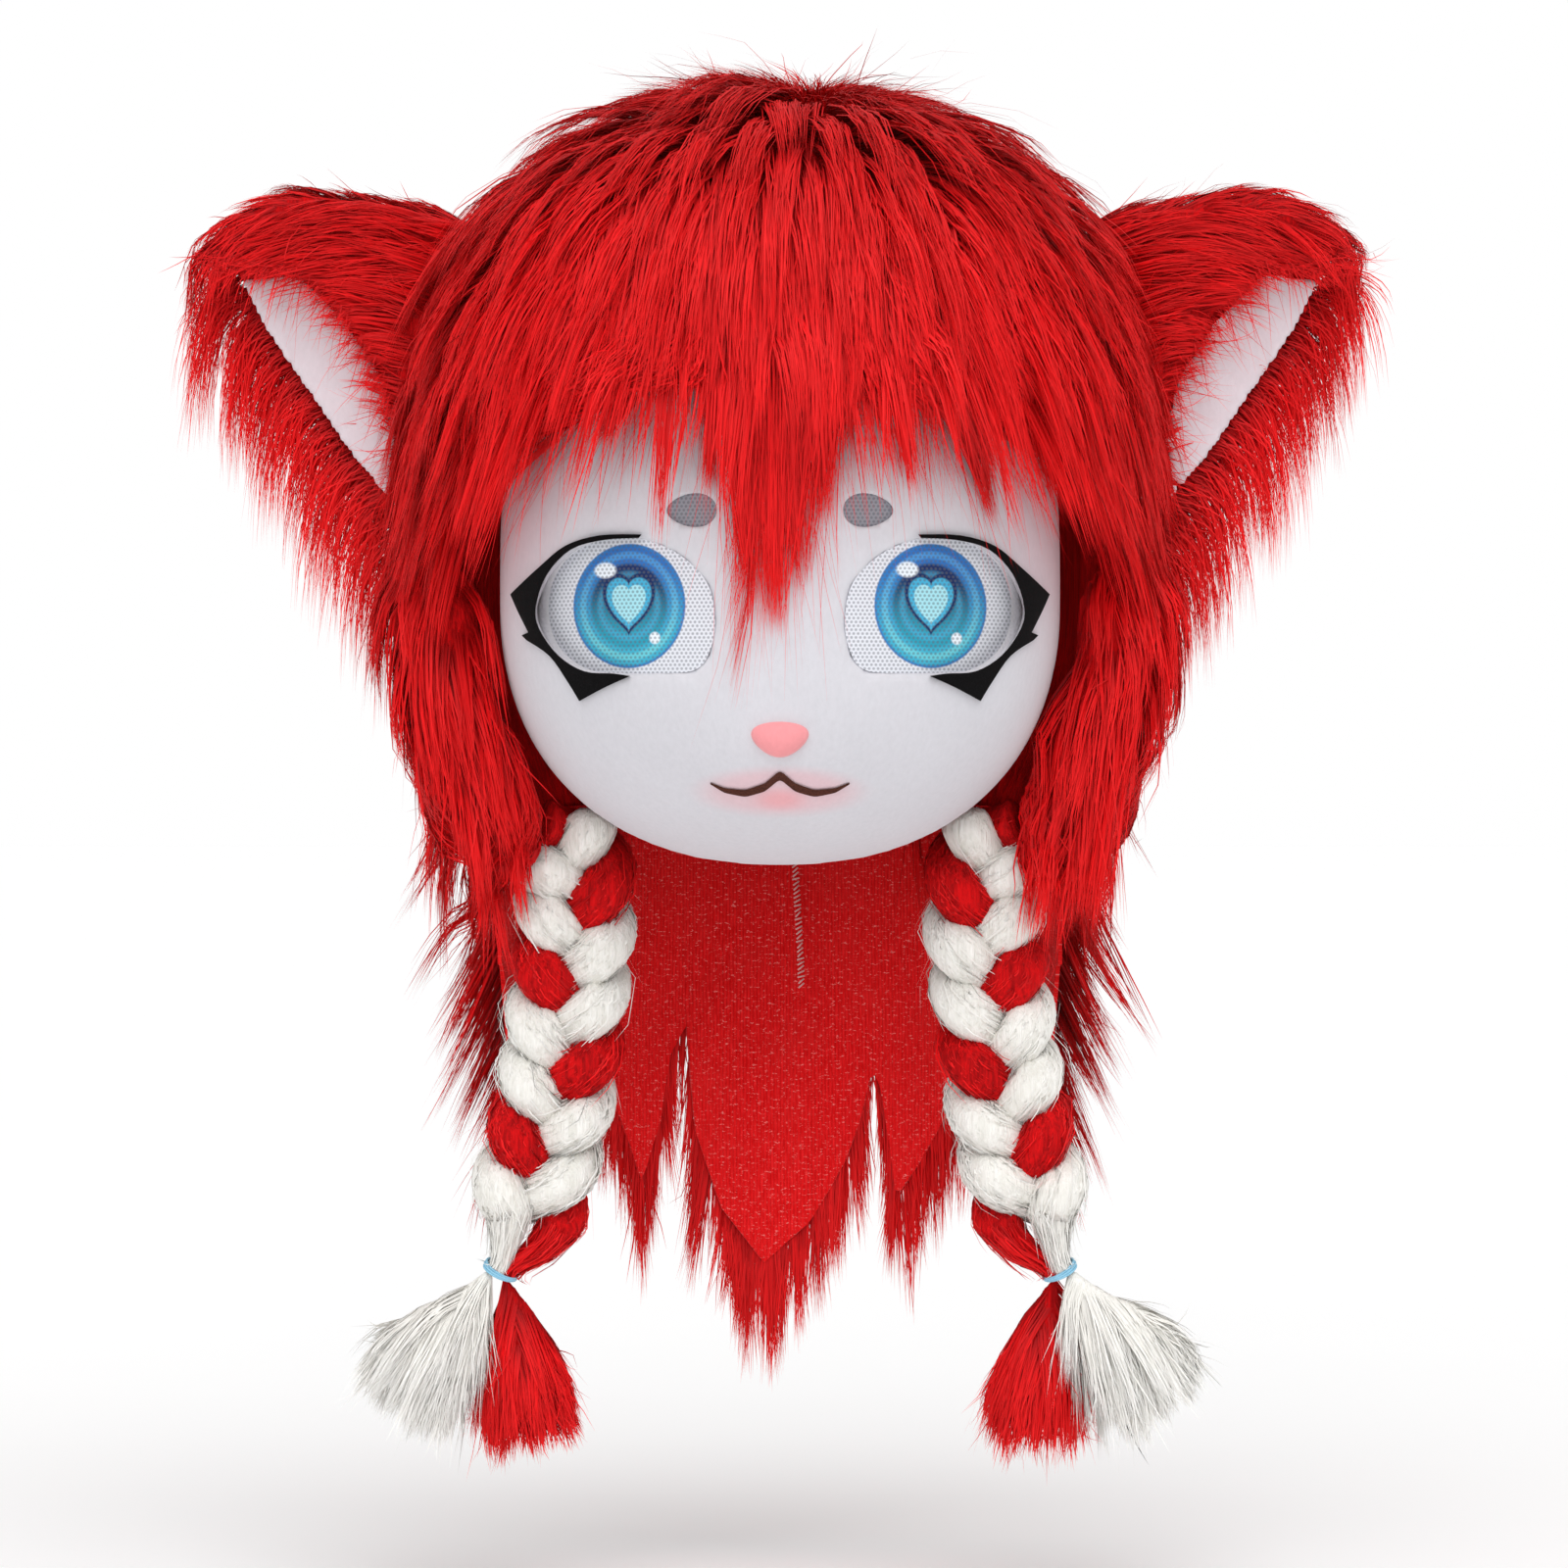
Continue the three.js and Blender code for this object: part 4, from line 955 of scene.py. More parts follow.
def comb(tree, roots, normals, flow, lengths, steps, stand, lift, weight):
    """Guide hairs that rise from the form, follow the flow over it and then hang."""
    here, up = roots.copy(), normals.copy()
    path = [here.copy()]
    stand_m = stand * MM
    for step in range(steps):
        share = (step + 1) / steps
        place, bend = nearest(tree, here)
        height = np.linalg.norm(here - place, axis=1)
        free = np.clip((height - 1.6 * stand_m) / stand_m, 0, 1)[:, None]
        run = unit(flow(here / MM))
        along = (run * up).sum(1)
        along = np.where(along > 0, along * (1 - smoothstep(0.15, 0.5, -up[:, 2])), along)
        run = unit(run - up * along[:, None] * (1 - free))
        go = run + up * (lift * (1 - share) ** 1.5) * (1 - free)
        go[:, 2] -= weight * share
        here = here + unit(go) * (lengths / steps)[:, None]
        place, bend = nearest(tree, here)
        side = ((here - place) * bend).sum(1)
        far = np.linalg.norm(here - place, axis=1)
        near = far < 2 * stand_m
        push = np.where(near | (side < 0) & (far < 14 * MM), np.maximum(stand_m * share**0.6 - side, 0), 0)
        push = np.minimum(push, 8 * MM)
        here = here + bend * push[:, None]
        up = np.where(near[:, None], unit(bend), up)
        path.append(here.copy())
    return np.stack(path, 1)


def follow(guides, roots, rng, clump, short, frizz, stray, steps):
    """Hairs that start at their own roots and draw in to the nearest guide towards the tip."""
    tree = KDTree(len(guides))
    for i, guide in enumerate(guides):
        tree.insert(guide[0], i)
    tree.balance()
    index = np.array([tree.find(root)[1] for root in roots])
    length = 1 - short * rng.random(len(roots)) ** 1.5
    share = np.linspace(0, 1, steps + 1)
    at = share[None, :] * length[:, None] * (guides.shape[1] - 1)
    low = np.minimum(at.astype(int), guides.shape[1] - 2)
    part = (at - low)[..., None]
    chosen = guides[index]
    rows = np.arange(len(roots))[:, None]
    path = chosen[rows, low] * (1 - part) + chosen[rows, low + 1] * part
    offset = roots - chosen[:, 0]
    draw = clump * (0.6 + 0.4 * rng.random(len(roots)))
    path = path + offset[:, None] * (1 - draw[:, None] * share[None] ** 1.3)[..., None]
    wild = np.where(rng.random(len(roots)) < stray, 4.0, 1.0)
    sway = rng.normal(size=(2, len(roots), 1, 3)) * frizz * MM * wild[None, :, None, None]
    phase = rng.random((len(roots), 1, 1)) * 2 * np.pi
    wave = np.sin(phase + share[None, :, None] * 4.5)
    path = path + (sway[0] * share[None, :, None] ** 1.4 + sway[1] * 0.35 * wave * share[None, :, None])
    path[:, 0] = roots
    return path, index


def drawn_in(paths):
    """Keeps stray hairs within the head's measured height and depth."""
    x, y, z = (paths[..., i] / MM for i in range(3))
    y = np.where(y < -147, -147 + (y + 147) * 0.3, np.where(y > 162, 162 + (y - 162) * 0.3, y))
    z = np.where(z > 56, 56 + (z - 56) * 0.35, z)
    return np.stack([x, y, z], -1) * MM


HAIR_TIP = 0.08
HAIR_TWIST = 0.55


def hair_mesh(name, paths, ups, width, rng, tones, shade="red"):
    """One joined mesh of tapered ribbons, one for each hair."""
    paths = drawn_in(paths)
    count, rows = paths.shape[:2]
    steps = rows - 1
    run = unit(np.gradient(paths, axis=1))
    side = unit(np.cross(run, np.broadcast_to(ups, (count, 3))[:, None]))
    lift = np.cross(side, run)
    twist = rng.normal(size=(count, 1, 1)) * HAIR_TWIST
    edge = side * np.cos(twist) + lift * np.sin(twist)
    share = np.linspace(0, 1, rows)
    taper = mix(0.8, 1.0, smoothstep(0, 0.25, share)) * (1 - (1 - HAIR_TIP) * share**1.4)
    half = edge * (width * MM / 2 * rng.uniform(0.6, 1.25, (count, 1)) * taper[None])[..., None]
    lay = unit(lift * 0.75 + np.cross(edge, run) * 0.25)
    verts = np.empty((count, 2 * steps + 1, 3), np.float32)
    verts[:, 0:2 * steps:2] = (paths - half)[:, :-1]
    verts[:, 1:2 * steps:2] = (paths + half)[:, :-1]
    verts[:, -1] = paths[:, -1]
    quads = np.array([[2 * k, 2 * k + 1, 2 * k + 3, 2 * k + 2] for k in range(steps - 1)]).ravel()
    loops = np.concatenate([quads, [2 * steps - 2, 2 * steps - 1, 2 * steps]])
    starts = np.array([4 * k for k in range(steps)])
    base = (np.arange(count) * (2 * steps + 1))[:, None]
    mesh = bpy.data.meshes.new(name)
    mesh.vertices.add(verts.shape[0] * verts.shape[1])
    mesh.vertices.foreach_set("co", verts.ravel())
    mesh.loops.add(count * len(loops))
    mesh.loops.foreach_set("vertex_index", (base + loops[None]).ravel().astype(np.int32))
    mesh.polygons.add(count * steps)
    mesh.polygons.foreach_set(
        "loop_start", ((np.arange(count) * len(loops))[:, None] + starts[None]).ravel().astype(np.int32))
    mesh.update(calc_edges=True)
    mesh.polygons.foreach_set("use_smooth", np.ones(count * steps, bool))
    along = np.repeat(np.append(np.repeat(share[:-1], 2), 1.0)[None], count, 0)
    tone = np.repeat(tones[:, None], 2 * steps + 1, 1)
    facing = np.repeat(lay, 2, axis=1)[:, :-1]
    for label, values in (("along", along), ("tone", tone)):
        made = mesh.attributes.new(label, "FLOAT", "POINT")
        made.data.foreach_set("value", values.ravel().astype(np.float32))
    made = mesh.attributes.new("lay", "FLOAT_VECTOR", "POINT")
    made.data.foreach_set("vector", facing.astype(np.float32).ravel())
    mesh.materials.append(finish[shade + "_hair"])
    return seat(placed(name, mesh), shade + "_fur")


def lock_tones(rng, locks, lock):
    """A tone for each hair, half of it shared by its lock."""
    return np.clip(0.5 * rng.random(locks)[lock] + 0.5 * rng.random(len(lock)), 0, 1)


GUIDE_STEPS = 7
WISP_SHARE = 0.12


def grow_pile(name, form, flow, count, length, stand, width, seed, keep=None, locks=0.025, lift=0.9,
              weight=0.25, clump=0.75, short=0.35, frizz=1.6, stray=0.05, steps=5, shade="red", colliders=(),
              split=None, hold=None, roots_on=None):
    """Covers a form with long pile, as one mesh or one for each part that split() tells apart.

    count hairs follow flow() over the form at the height stand; keep() says where they grow.
    locks is the share of guide hairs, lift and weight raise and lower them, clump draws hairs to
    them, short, frizz and stray loosen the hairs, and hold() keeps them within a form.
    """
    rng = np.random.default_rng(seed)
    keep = keep or (lambda place, normal: np.ones(len(place)))
    tree = tree_of(form, *colliders)
    skin = roots_on or form
    guide_roots, guide_normals = scatter(skin, int(count * locks), rng, keep)
    reach = length(guide_roots / MM) if callable(length) else np.full(len(guide_roots), float(length))
    reach = reach * MM * rng.uniform(0.7, 1.3, len(guide_roots))
    guides = comb(tree, guide_roots, guide_normals, flow, reach, GUIDE_STEPS, stand, lift, weight)
    wisp_roots, _ = scatter(skin, int(count * WISP_SHARE), rng, keep)
    guides, _ = follow(guides, wisp_roots, rng, clump=0.62, short=0.3, frizz=1.2, stray=0.03,
                       steps=GUIDE_STEPS)
    roots, normals = scatter(skin, count, rng, keep)
    paths, index = follow(guides, roots, rng, clump, short, frizz, stray, steps)
    if hold:
        paths = hold(paths / MM) * MM
    lock_tone = rng.random(len(guides))
    tones = np.clip(0.55 * lock_tone[index] + 0.45 * rng.random(count), 0, 1)
    if split is None:
        hair_mesh(name, paths, normals, width, rng, tones, shade)
        return
    parts = split(roots / MM)
    for k, label in enumerate(SECTORS):
        mine = parts == k
        hair_mesh(name + "_" + label, paths[mine], normals[mine], width, rng, tones[mine], shade)


SECTORS = ("left", "right", "back")


def sector(place):
    return np.where(place[:, 1] > 45, 2, np.where(place[:, 0] > 0, 0, 1))


WHORL = np.array([6.0, -18.0, 45.0])


def hood_flow(place):
    """From the whorl on the crown outwards and down, and outwards beside the face."""
    away = unit(place - WHORL)
    down = smoothstep(30, -120, place[:, 2])
    run = away * (1 - 0.55 * down)[:, None]
    run[:, 2] -= 0.25 + 1.15 * down
    spread = 0.36 * smoothstep(30, -60, place[:, 2]) - 0.5 * smoothstep(-160, -215, place[:, 2])
    run[:, 0] += np.sign(place[:, 0]) * spread * smoothstep(20, 90, np.abs(place[:, 0]))
    return run


def inside_back(paths):
    """Keeps the pile on the back within the head's measured depth."""
    y = paths[..., 1]
    return np.stack([paths[..., 0], np.where(y > 160, 160 + (y - 160) * 0.5, y), paths[..., 2]], -1)


def hood_keep(place, normal):
    """Pile grows on the outside and on the front edge, and not inside the hood."""
    from_middle = unit(place - np.array([0, 0, -120.0]))
    facing = (normal * from_middle).sum(1)
    outer = (np.abs(place[:, 0]) > 108) | (place[:, 1] > 112) | (place[:, 2] > -8) | (place[:, 1] < -60)
    front = 1 + 1.1 * smoothstep(40, -40, place[:, 1])
    brow = (np.abs(place[:, 0]) < 90) & (place[:, 1] < -50) & (normal[:, 2] < -0.2)
    shown = ((facing > 0.15) & outer | (facing > 0.55)) & (place[:, 2] > HOOD_RIM_Z + 4) & ~brow
    return np.where(shown, front, 0.0)


def grow_tuft(form):
    """Hairs that stand up round the whorl and fall over outwards."""
    def flow(place):
        away = unit(place - WHORL)
        away[:, 2] = 0.9 - 1.9 * smoothstep(34, 56, place[:, 2])
        away[:, 0] = away[:, 0] * 1.4 - 0.3
        return away

    def keep(place, normal):
        far = np.hypot(place[:, 0] - WHORL[0], place[:, 1] - WHORL[1])
        return smoothstep(56, 12, far) * (normal[:, 2] > 0.3)

    grow_pile("crown_tuft", form, flow, count=2000, length=42, stand=18, width=0.6, seed=15, keep=keep,
              lift=1.2, weight=0.3, clump=0.6, frizz=2.4, steps=5, locks=0.05, stray=0.12)


def make_hood():
    form = under_form("hood", "hood_under_pile", voxel=9, sink=9)
    grow_pile("hood_pile", form, hood_flow, count=35500,
              length=lambda place: 72 - 10 * smoothstep(-60, -200, place[:, 2]), stand=11, width=0.95,
              seed=11, keep=hood_keep, split=sector, weight=0.3, steps=4, clump=0.58, frizz=1.2,
              short=0.3, stray=0.08, colliders=(face,), hold=inside_back)
    grow_tuft(form)
    return form


hood = make_hood()


def make_side_hair(name, side):
    form = under_form("side_hair_" + name, "side_hair_under_" + name, voxel=4, sink=8)

    def flow(place):
        run = np.zeros_like(place)
        run[:, 0] = side * mix(0.2, -0.2, smoothstep(-150, -225, place[:, 2]))
        run[:, 1] = -0.05
        run[:, 2] = -1
        return run

    def keep(place, normal):
        return np.where(normal[:, 2] > 0.6, 0.5, 1.0)

    grow_pile("side_hair_pile_" + name, form, flow, count=4200,
              length=lambda place: 60 - 10 * smoothstep(-200, -280, place[:, 2]), stand=5, width=0.95,
              seed=21 + side, keep=keep, weight=0.3, steps=4, lift=0.6, clump=0.65)


for word, sign in SIDES:
    make_side_hair(word, sign)


# Ears: a cupped ear of long pile whose lower edge is straight, with a fringe that hangs from it
EDGE_TIP = (0.775, 0.29)
EDGE_ROOT = (0.22, 0.99)


def ear_point(side, out, down):
    return np.array([side * (EAR_ROOT + out * EAR_LENGTH), EAR_TOP_Z - down * EAR_HEIGHT])


def ear_edge(side):
    """A point on the ear's straight lower edge and the direction down and away from it."""
    tip, root = ear_point(side, *EDGE_TIP), ear_point(side, *EDGE_ROOT)
    run = (root - tip) / np.linalg.norm(root - tip)
    away = np.array([run[1], -run[0]]) * -side
    return tip, away if away[1] < 0 else -away


def ear_y(out, down):
    return 9 * np.sin(np.pi * np.clip(out, 0, 1)) * np.sin(np.pi * np.clip(down, 0, 1))


FRINGE_ENDS = ((0.8, 0.24), (0.13, 1.07))
FRINGE_LOCKS = 14
FRINGE_EDGE = 176


def make_ear_fringe(name, side):
    """Separate locks that leave the ear's straight edge outwards, bend over and hang."""
    rng = np.random.default_rng(35 + side)
    count, steps = 2100, 5
    locks = np.sort(np.linspace(0.0, 1.0, FRINGE_LOCKS) + rng.normal(size=FRINGE_LOCKS) * 0.02)
    reach = rng.uniform(58, 84, FRINGE_LOCKS) * mix(0.82, 1.0, locks)
    at = rng.random(count)
    lock = np.abs(at[:, None] - locks[None] + rng.normal(size=(count, FRINGE_LOCKS)) * 0.012).argmin(1)
    out = mix(FRINGE_ENDS[0][0], FRINGE_ENDS[1][0], at)
    down = mix(FRINGE_ENDS[0][1], FRINGE_ENDS[1][1], at) - 0.016 * rng.random(count)
    x0, z0 = EAR_ROOT + out * EAR_LENGTH, EAR_TOP_Z - down * EAR_HEIGHT
    share = np.linspace(0, 1, steps + 1)[None]
    length = reach[lock] * rng.uniform(0.12, 1.0, count) ** 0.8
    sweep = rng.uniform(12, 26, count) * mix(0.8, 1.0, at)
    gather = (locks[lock] - at) * FRINGE_EDGE
    x = x0[:, None] + sweep[:, None] * (1 - (1 - share) ** 2.2) - (0.8 * gather)[:, None] * share**1.1
    z = z0[:, None] - length[:, None] * (0.25 * share + 0.75 * share**1.7)
    z = z - (0.4 * gather)[:, None] * share**1.1
    y0 = ear_y(out, down) + rng.uniform(0.5, 13, count)
    y = y0[:, None] + (rng.normal(size=count) * 4)[:, None] * share
    paths = np.stack([side * x, y, z], -1) * MM
    paths += rng.normal(size=(count, 1, 3)) * np.array([1.5, 1.5, 0.5]) * MM * share[..., None] ** 1.5
    hair_mesh("ear_fringe_" + name, paths, (side * 0.3, -1.0, 0.2), 0.62, rng,
              lock_tones(rng, FRINGE_LOCKS, lock))


LINING_TOP = ((0.86, 0.2), (0.74, 0.24), (0.56, 0.25), (0.41, 0.38), (0.29, 0.54), (0.22, 0.72), (0.24, 0.9))


def make_ear_wisps(name, side):
    """Thin hairs that stray from the pile over the upper side of the ear's white inside."""
    rng = np.random.default_rng(37 + side)
    count, steps = 640, 4
    out, down = read_off(LINING_TOP, rng.random(count) * (len(LINING_TOP) - 1)).T
    out = out + rng.normal(size=count) * 0.012
    down = down + rng.normal(size=count) * 0.012
    share = np.linspace(0, 1, steps + 1)[None]
    length = 5 + 24 * rng.random(count) ** 2.2
    lean = rng.uniform(0.1, 1.0, count)[:, None]
    x = (EAR_ROOT + out * EAR_LENGTH)[:, None] + length[:, None] * lean * share
    bow = length[:, None] * ((1.15 - lean) * share + rng.normal(size=(count, 1)) * 0.3 * share**2)
    z = (EAR_TOP_Z - down * EAR_HEIGHT)[:, None] - bow
    y = ear_y((x - EAR_ROOT) / EAR_LENGTH, (EAR_TOP_Z - z) / EAR_HEIGHT) - 10.5 - 2.5 * np.sin(np.pi * share)
    paths = np.stack([side * x, y, z], -1) * MM
    hair_mesh("ear_wisps_" + name, paths, (0.0, -1.0, 0.1), 0.38, rng, rng.random(count))


def lay_lining(piece):
    """Takes the lining's places across and up, about their middle, and does nothing more with them."""
    co = places(piece.data)[:, [0, 2]]
    co = co - co.mean(axis=0)


def make_ear(name, side):
    tip, away = ear_edge(side)
    cut = ((tip[0] * MM, 0, tip[1] * MM), (away[0], 0, away[1]))
    form = under_form("ear_" + name, "ear_under_" + name, voxel=4, sink=4, cut=cut)
    lining = under_form("ear_lining_" + name, "ear_lining_pile_" + name, 1.8, -0.6, "lining", "white_pile",
                        rounds=4)
    lay_lining(lining)
    lining_tree = tree_of(lining)

    def below(place):
        return (place[:, 0] - tip[0]) * away[0] + (place[:, 2] - tip[1]) * away[1]

    def flow(place):
        out = np.clip((np.abs(place[:, 0]) - EAR_ROOT) / EAR_LENGTH, 0, 1.1)
        hang = np.maximum(smoothstep(0.72, 1.02, out), smoothstep(-10, 6, below(place)))
        run = np.zeros_like(place)
        run[:, 0] = side * (1 - 0.84 * hang)
        run[:, 2] = 0.42 - 0.75 * smoothstep(0.1, 0.75, out) - 0.8 * hang
        return run

    def keep(place, normal):
        shown = np.ones(len(place))
        for i, point in enumerate(place):
            found = lining_tree.find_nearest(Vector(point * MM), 0.006)
            if found[0] is not None and normal[i, 1] < 0.3:
                shown[i] = 0
        return shown * (1 - 0.45 * smoothstep(-12, 0, below(place)))

    def length(place):
        out = (np.abs(place[:, 0]) - EAR_ROOT) / EAR_LENGTH
        return 30 + 40 * smoothstep(0.7, 0.97, out)

    grow_pile("ear_pile_" + name, form, flow, count=5200, length=length, stand=3.5, width=0.82,
              seed=31 + side, keep=keep, lift=0.55, weight=0.3, clump=0.5, frizz=1.2, steps=4, stray=0.08)
    make_ear_fringe(name, side)
    make_ear_wisps(name, side)


for word, sign in SIDES:
    make_ear(word, sign)


# Bangs: locks from the hood's front edge that lie on the forehead and run to a few tips
BANG_TIPS = [(-112, -126, 0.7), (-101, -108, 0.8), (-89, -98, 0.8), (-71, -110, 0.5), (-60, -92, 0.9),
             (-49, -94, 0.8), (-39, -92, 0.8), (-28, -130, 0.6), (-20, -210, 0.25), (-11, -172, 1.1),
             (-2, -184, 1.4), (8, -166, 1.2), (17, -140, 1.1), (25, -112, 0.9), (40, -104, 0.8),
             (52, -128, 0.4), (61, -106, 0.9), (74, -112, 0.7), (84, -142, 0.35), (93, -106, 0.9),
             (104, -114, 0.8), (112, -126, 0.7)]


BANG_EDGE = -84


def make_bangs():
    """Locks that lie from the crown over the hood's edge and taper to tips on the forehead."""
    def shorter(co):
        low = np.minimum(co[:, 2] - BANG_EDGE, 0)
        return np.stack([co[:, 0], co[:, 1], np.where(low < 0, BANG_EDGE + low * 0.14, co[:, 2])], 1)

    under_form("bangs", "bangs_under_pile", voxel=3.5, sink=3.5, rule=shorter)
    rng = np.random.default_rng(41)
    count = 7600
    tips = np.array(BANG_TIPS)
    x0 = rng.uniform(-1, 1, count) * 112
    z0 = mix(BANG_EDGE, 8, rng.random(count) ** 1.35) - 26 * (np.abs(x0) / 112) ** 2
    pull = tips[:, 2] * np.where(np.abs(tips[:, 0]) < 18, 1.7, 1.0)
    apart = np.abs(x0[:, None] - tips[None, :, 0]) / pull[None] + rng.normal(size=(count, len(tips))) * 3.5
    lock = apart.argmin(1)
    loose = rng.random(count) < 0.1
    x1 = mix(x0, tips[lock, 0], np.where(loose, 0.5, rng.uniform(0.75, 1.0, count)))
    x1 = x1 + rng.normal(size=count) * 1.3
    z1 = mix(z0, tips[lock, 1], rng.uniform(0.1, 1.1, count) ** 0.45) - rng.random(count) * 3
    thin = rng.random(count) < 0.13
    z1 = np.where(thin, z1 - rng.uniform(2, 40, count), z1)
    x1 = np.where(thin, x1 + rng.normal(size=count) * 9, x1)
    steps = 5
    share = np.linspace(0, 1, steps + 1)[None]
    root_x = x0 * 0.8
    bow = np.where(tips[:, 1] < -190, 8.0, rng.normal(size=len(tips)) * 2)[lock]
    x = root_x[:, None] + (x1 - root_x)[:, None] * share**1.2 + bow[:, None] * np.sin(np.pi * share**1.5)
    z = z0[:, None] + (z1 - z0)[:, None] * share
    hood_y, shell_y = hood_front_y(x, z), face_y(x, z)
    over = smoothstep(-128, BANG_EDGE, z)
    y = mix(shell_y - 2.5, np.minimum(hood_y + 6, shell_y - 3), over)
    rise = rng.uniform(0, 12, count)[:, None] * np.sin(np.pi * np.clip(share * 0.9, 0, 1)) ** 1.2
    y = y - rise * mix(0.4, 1.0, over)
    y[:, 0] = np.minimum(hood_front_y(root_x, z0) + 14, shell_y[:, 0] - 1)
    paths = np.stack([x, y, z], -1) * MM
    paths += rng.normal(size=(count, 1, 3)) * np.array([1.4, 0.6, 0.6]) * MM * share[..., None] ** 1.5
    hair_mesh("bangs_pile", paths, (0.0, -1.0, 0.15), np.where(thin, 0.4, 1.0)[:, None], rng,
              lock_tones(rng, len(tips), lock))


make_bangs()


# Neck flap: a knit sheet cut in petals, hung round the nape
FLAP_ROWS = [(-0.99, 0.3), (-0.95, 0.7), (-0.86, 0.52), (-0.8, 0.36), (-0.74, 0.42), (-0.68, 0.56),
             (-0.58, 0.655), (-0.5, 0.81), (-0.43, 0.66), (-0.41, 0.53), (-0.345, 0.45), (-0.33, 0.56),
             (-0.31, 0.69), (-0.22, 0.87), (-0.06, 1.0), (0.1, 0.91), (0.18, 0.83), (0.24, 0.76),
             (0.29, 0.67), (0.335, 0.55), (0.365, 0.6), (0.39, 0.7), (0.42, 0.845), (0.5, 0.77),
             (0.6, 0.655), (0.7, 0.55), (0.8, 0.36), (0.86, 0.52), (0.95, 0.7), (0.99, 0.3)]
DART_X = 6.0
DART_LENGTH = 62.0
STITCH_PITCH = 1.9
STITCH_LENGTH = 3.2
STITCH_RADIUS = 0.34


def flap_share(across):
    """How far down the flap reaches at a share of its half width."""
    rows = np.array(FLAP_ROWS)
    return np.interp(across, rows[:, 0], rows[:, 1])


def nape(angle, grow):
    x = (FLAP_HALF_WIDTH + grow) * np.sin(angle)
    y = FLAP_FRONT_Y + (FLAP_BACK_Y - FLAP_FRONT_Y + grow) * np.cos(angle)
    return x, y


def flap_fold(x, drop_mm):
    """Soft creases: one beside the dart and broad waves towards the petals."""
    low = smoothstep(20, 150, drop_mm)
    crease = 3.2 * np.exp(-(((x - DART_X - 4) / 5.5) ** 2)) * smoothstep(0, 60, drop_mm)
    slant = 2.6 * np.exp(-(((x + 0.55 * drop_mm - 12) / 13) ** 2)) * smoothstep(50, 90, drop_mm)
    return crease + slant + 2.4 * low * np.sin(x / 17.0 + drop_mm / 60.0) - 1.6 * low


def make_flap():
    piece = added(bpy.ops.mesh.primitive_grid_add, x_subdivisions=150, y_subdivisions=46, size=2)
    grid = places(piece.data)
    angle = grid[:, 0] * FLAP_SWEEP
    share = (1 - grid[:, 1]) / 2
    drop = flap_share(np.sin(angle)) * FLAP_LENGTH * share
    x, _ = nape(angle, 0)
    inset = np.clip(flap_fold(x, drop), -1.5, 6)
    x, y = nape(angle, 1.2 - inset)
    co = np.stack([x, y, FLAP_TOP_Z - drop], 1)
    piece.data.vertices.foreach_set("co", (co * MM).astype(np.float32).ravel())
    arc = np.linspace(-FLAP_SWEEP, FLAP_SWEEP, 400)
    ax, ay = nape(arc, 0)
    run = np.concatenate([[0], np.cumsum(np.hypot(np.diff(ax), np.diff(ay)))])
    cloth = piece.data.attributes.new("cloth", "FLOAT_VECTOR", "POINT")
    flat = np.stack([np.interp(angle, arc, run), drop, np.zeros(len(drop))], 1)
    cloth.data.foreach_set("vector", flat.astype(np.float32).ravel())
    modify(piece, "SOLIDIFY", thickness=1.8 * MM, offset=0)
    outward(piece)
    named(piece, "neck_flap_knit", finish["knit"])
    smooth_shade(piece, 50)
    seat(piece, "red_knit", "neck_flap")
    return piece


flap = make_flap()


def make_dart_stitches():
    """Overlock stitches down the dart, as slanted bars of thread."""
    rng = np.random.default_rng(51)
    parts = []
    for i in range(int(DART_LENGTH / STITCH_PITCH)):
        drop = 8 + i * STITCH_PITCH
        x = DART_X + 3.0 * smoothstep(0, 70, drop)
        _, y = nape(np.arcsin(x / FLAP_HALF_WIDTH), 0)
        y = y - flap_fold(np.array(x), np.array(drop)) - 1.6
        parts.append(added(bpy.ops.mesh.primitive_cylinder_add, vertices=8, radius=STITCH_RADIUS * MM,
                           depth=STITCH_LENGTH * MM,
                           location=(x * MM, float(y) * MM, (FLAP_TOP_Z - drop) * MM),
                           rotation=(0, math.radians(58 + 10 * rng.normal()), 0)))
    piece = joined(parts[0], parts)
    bpy.ops.object.transform_apply(location=True, rotation=True, scale=True)
    named(piece, "dart_stitches", finish["stitch"])
    smooth_shade(piece)
    return seat(piece, "white_fur")


make_dart_stitches()


SLITS = ((-0.345, 0.45), (0.335, 0.55), (-0.8, 0.36), (0.8, 0.36))


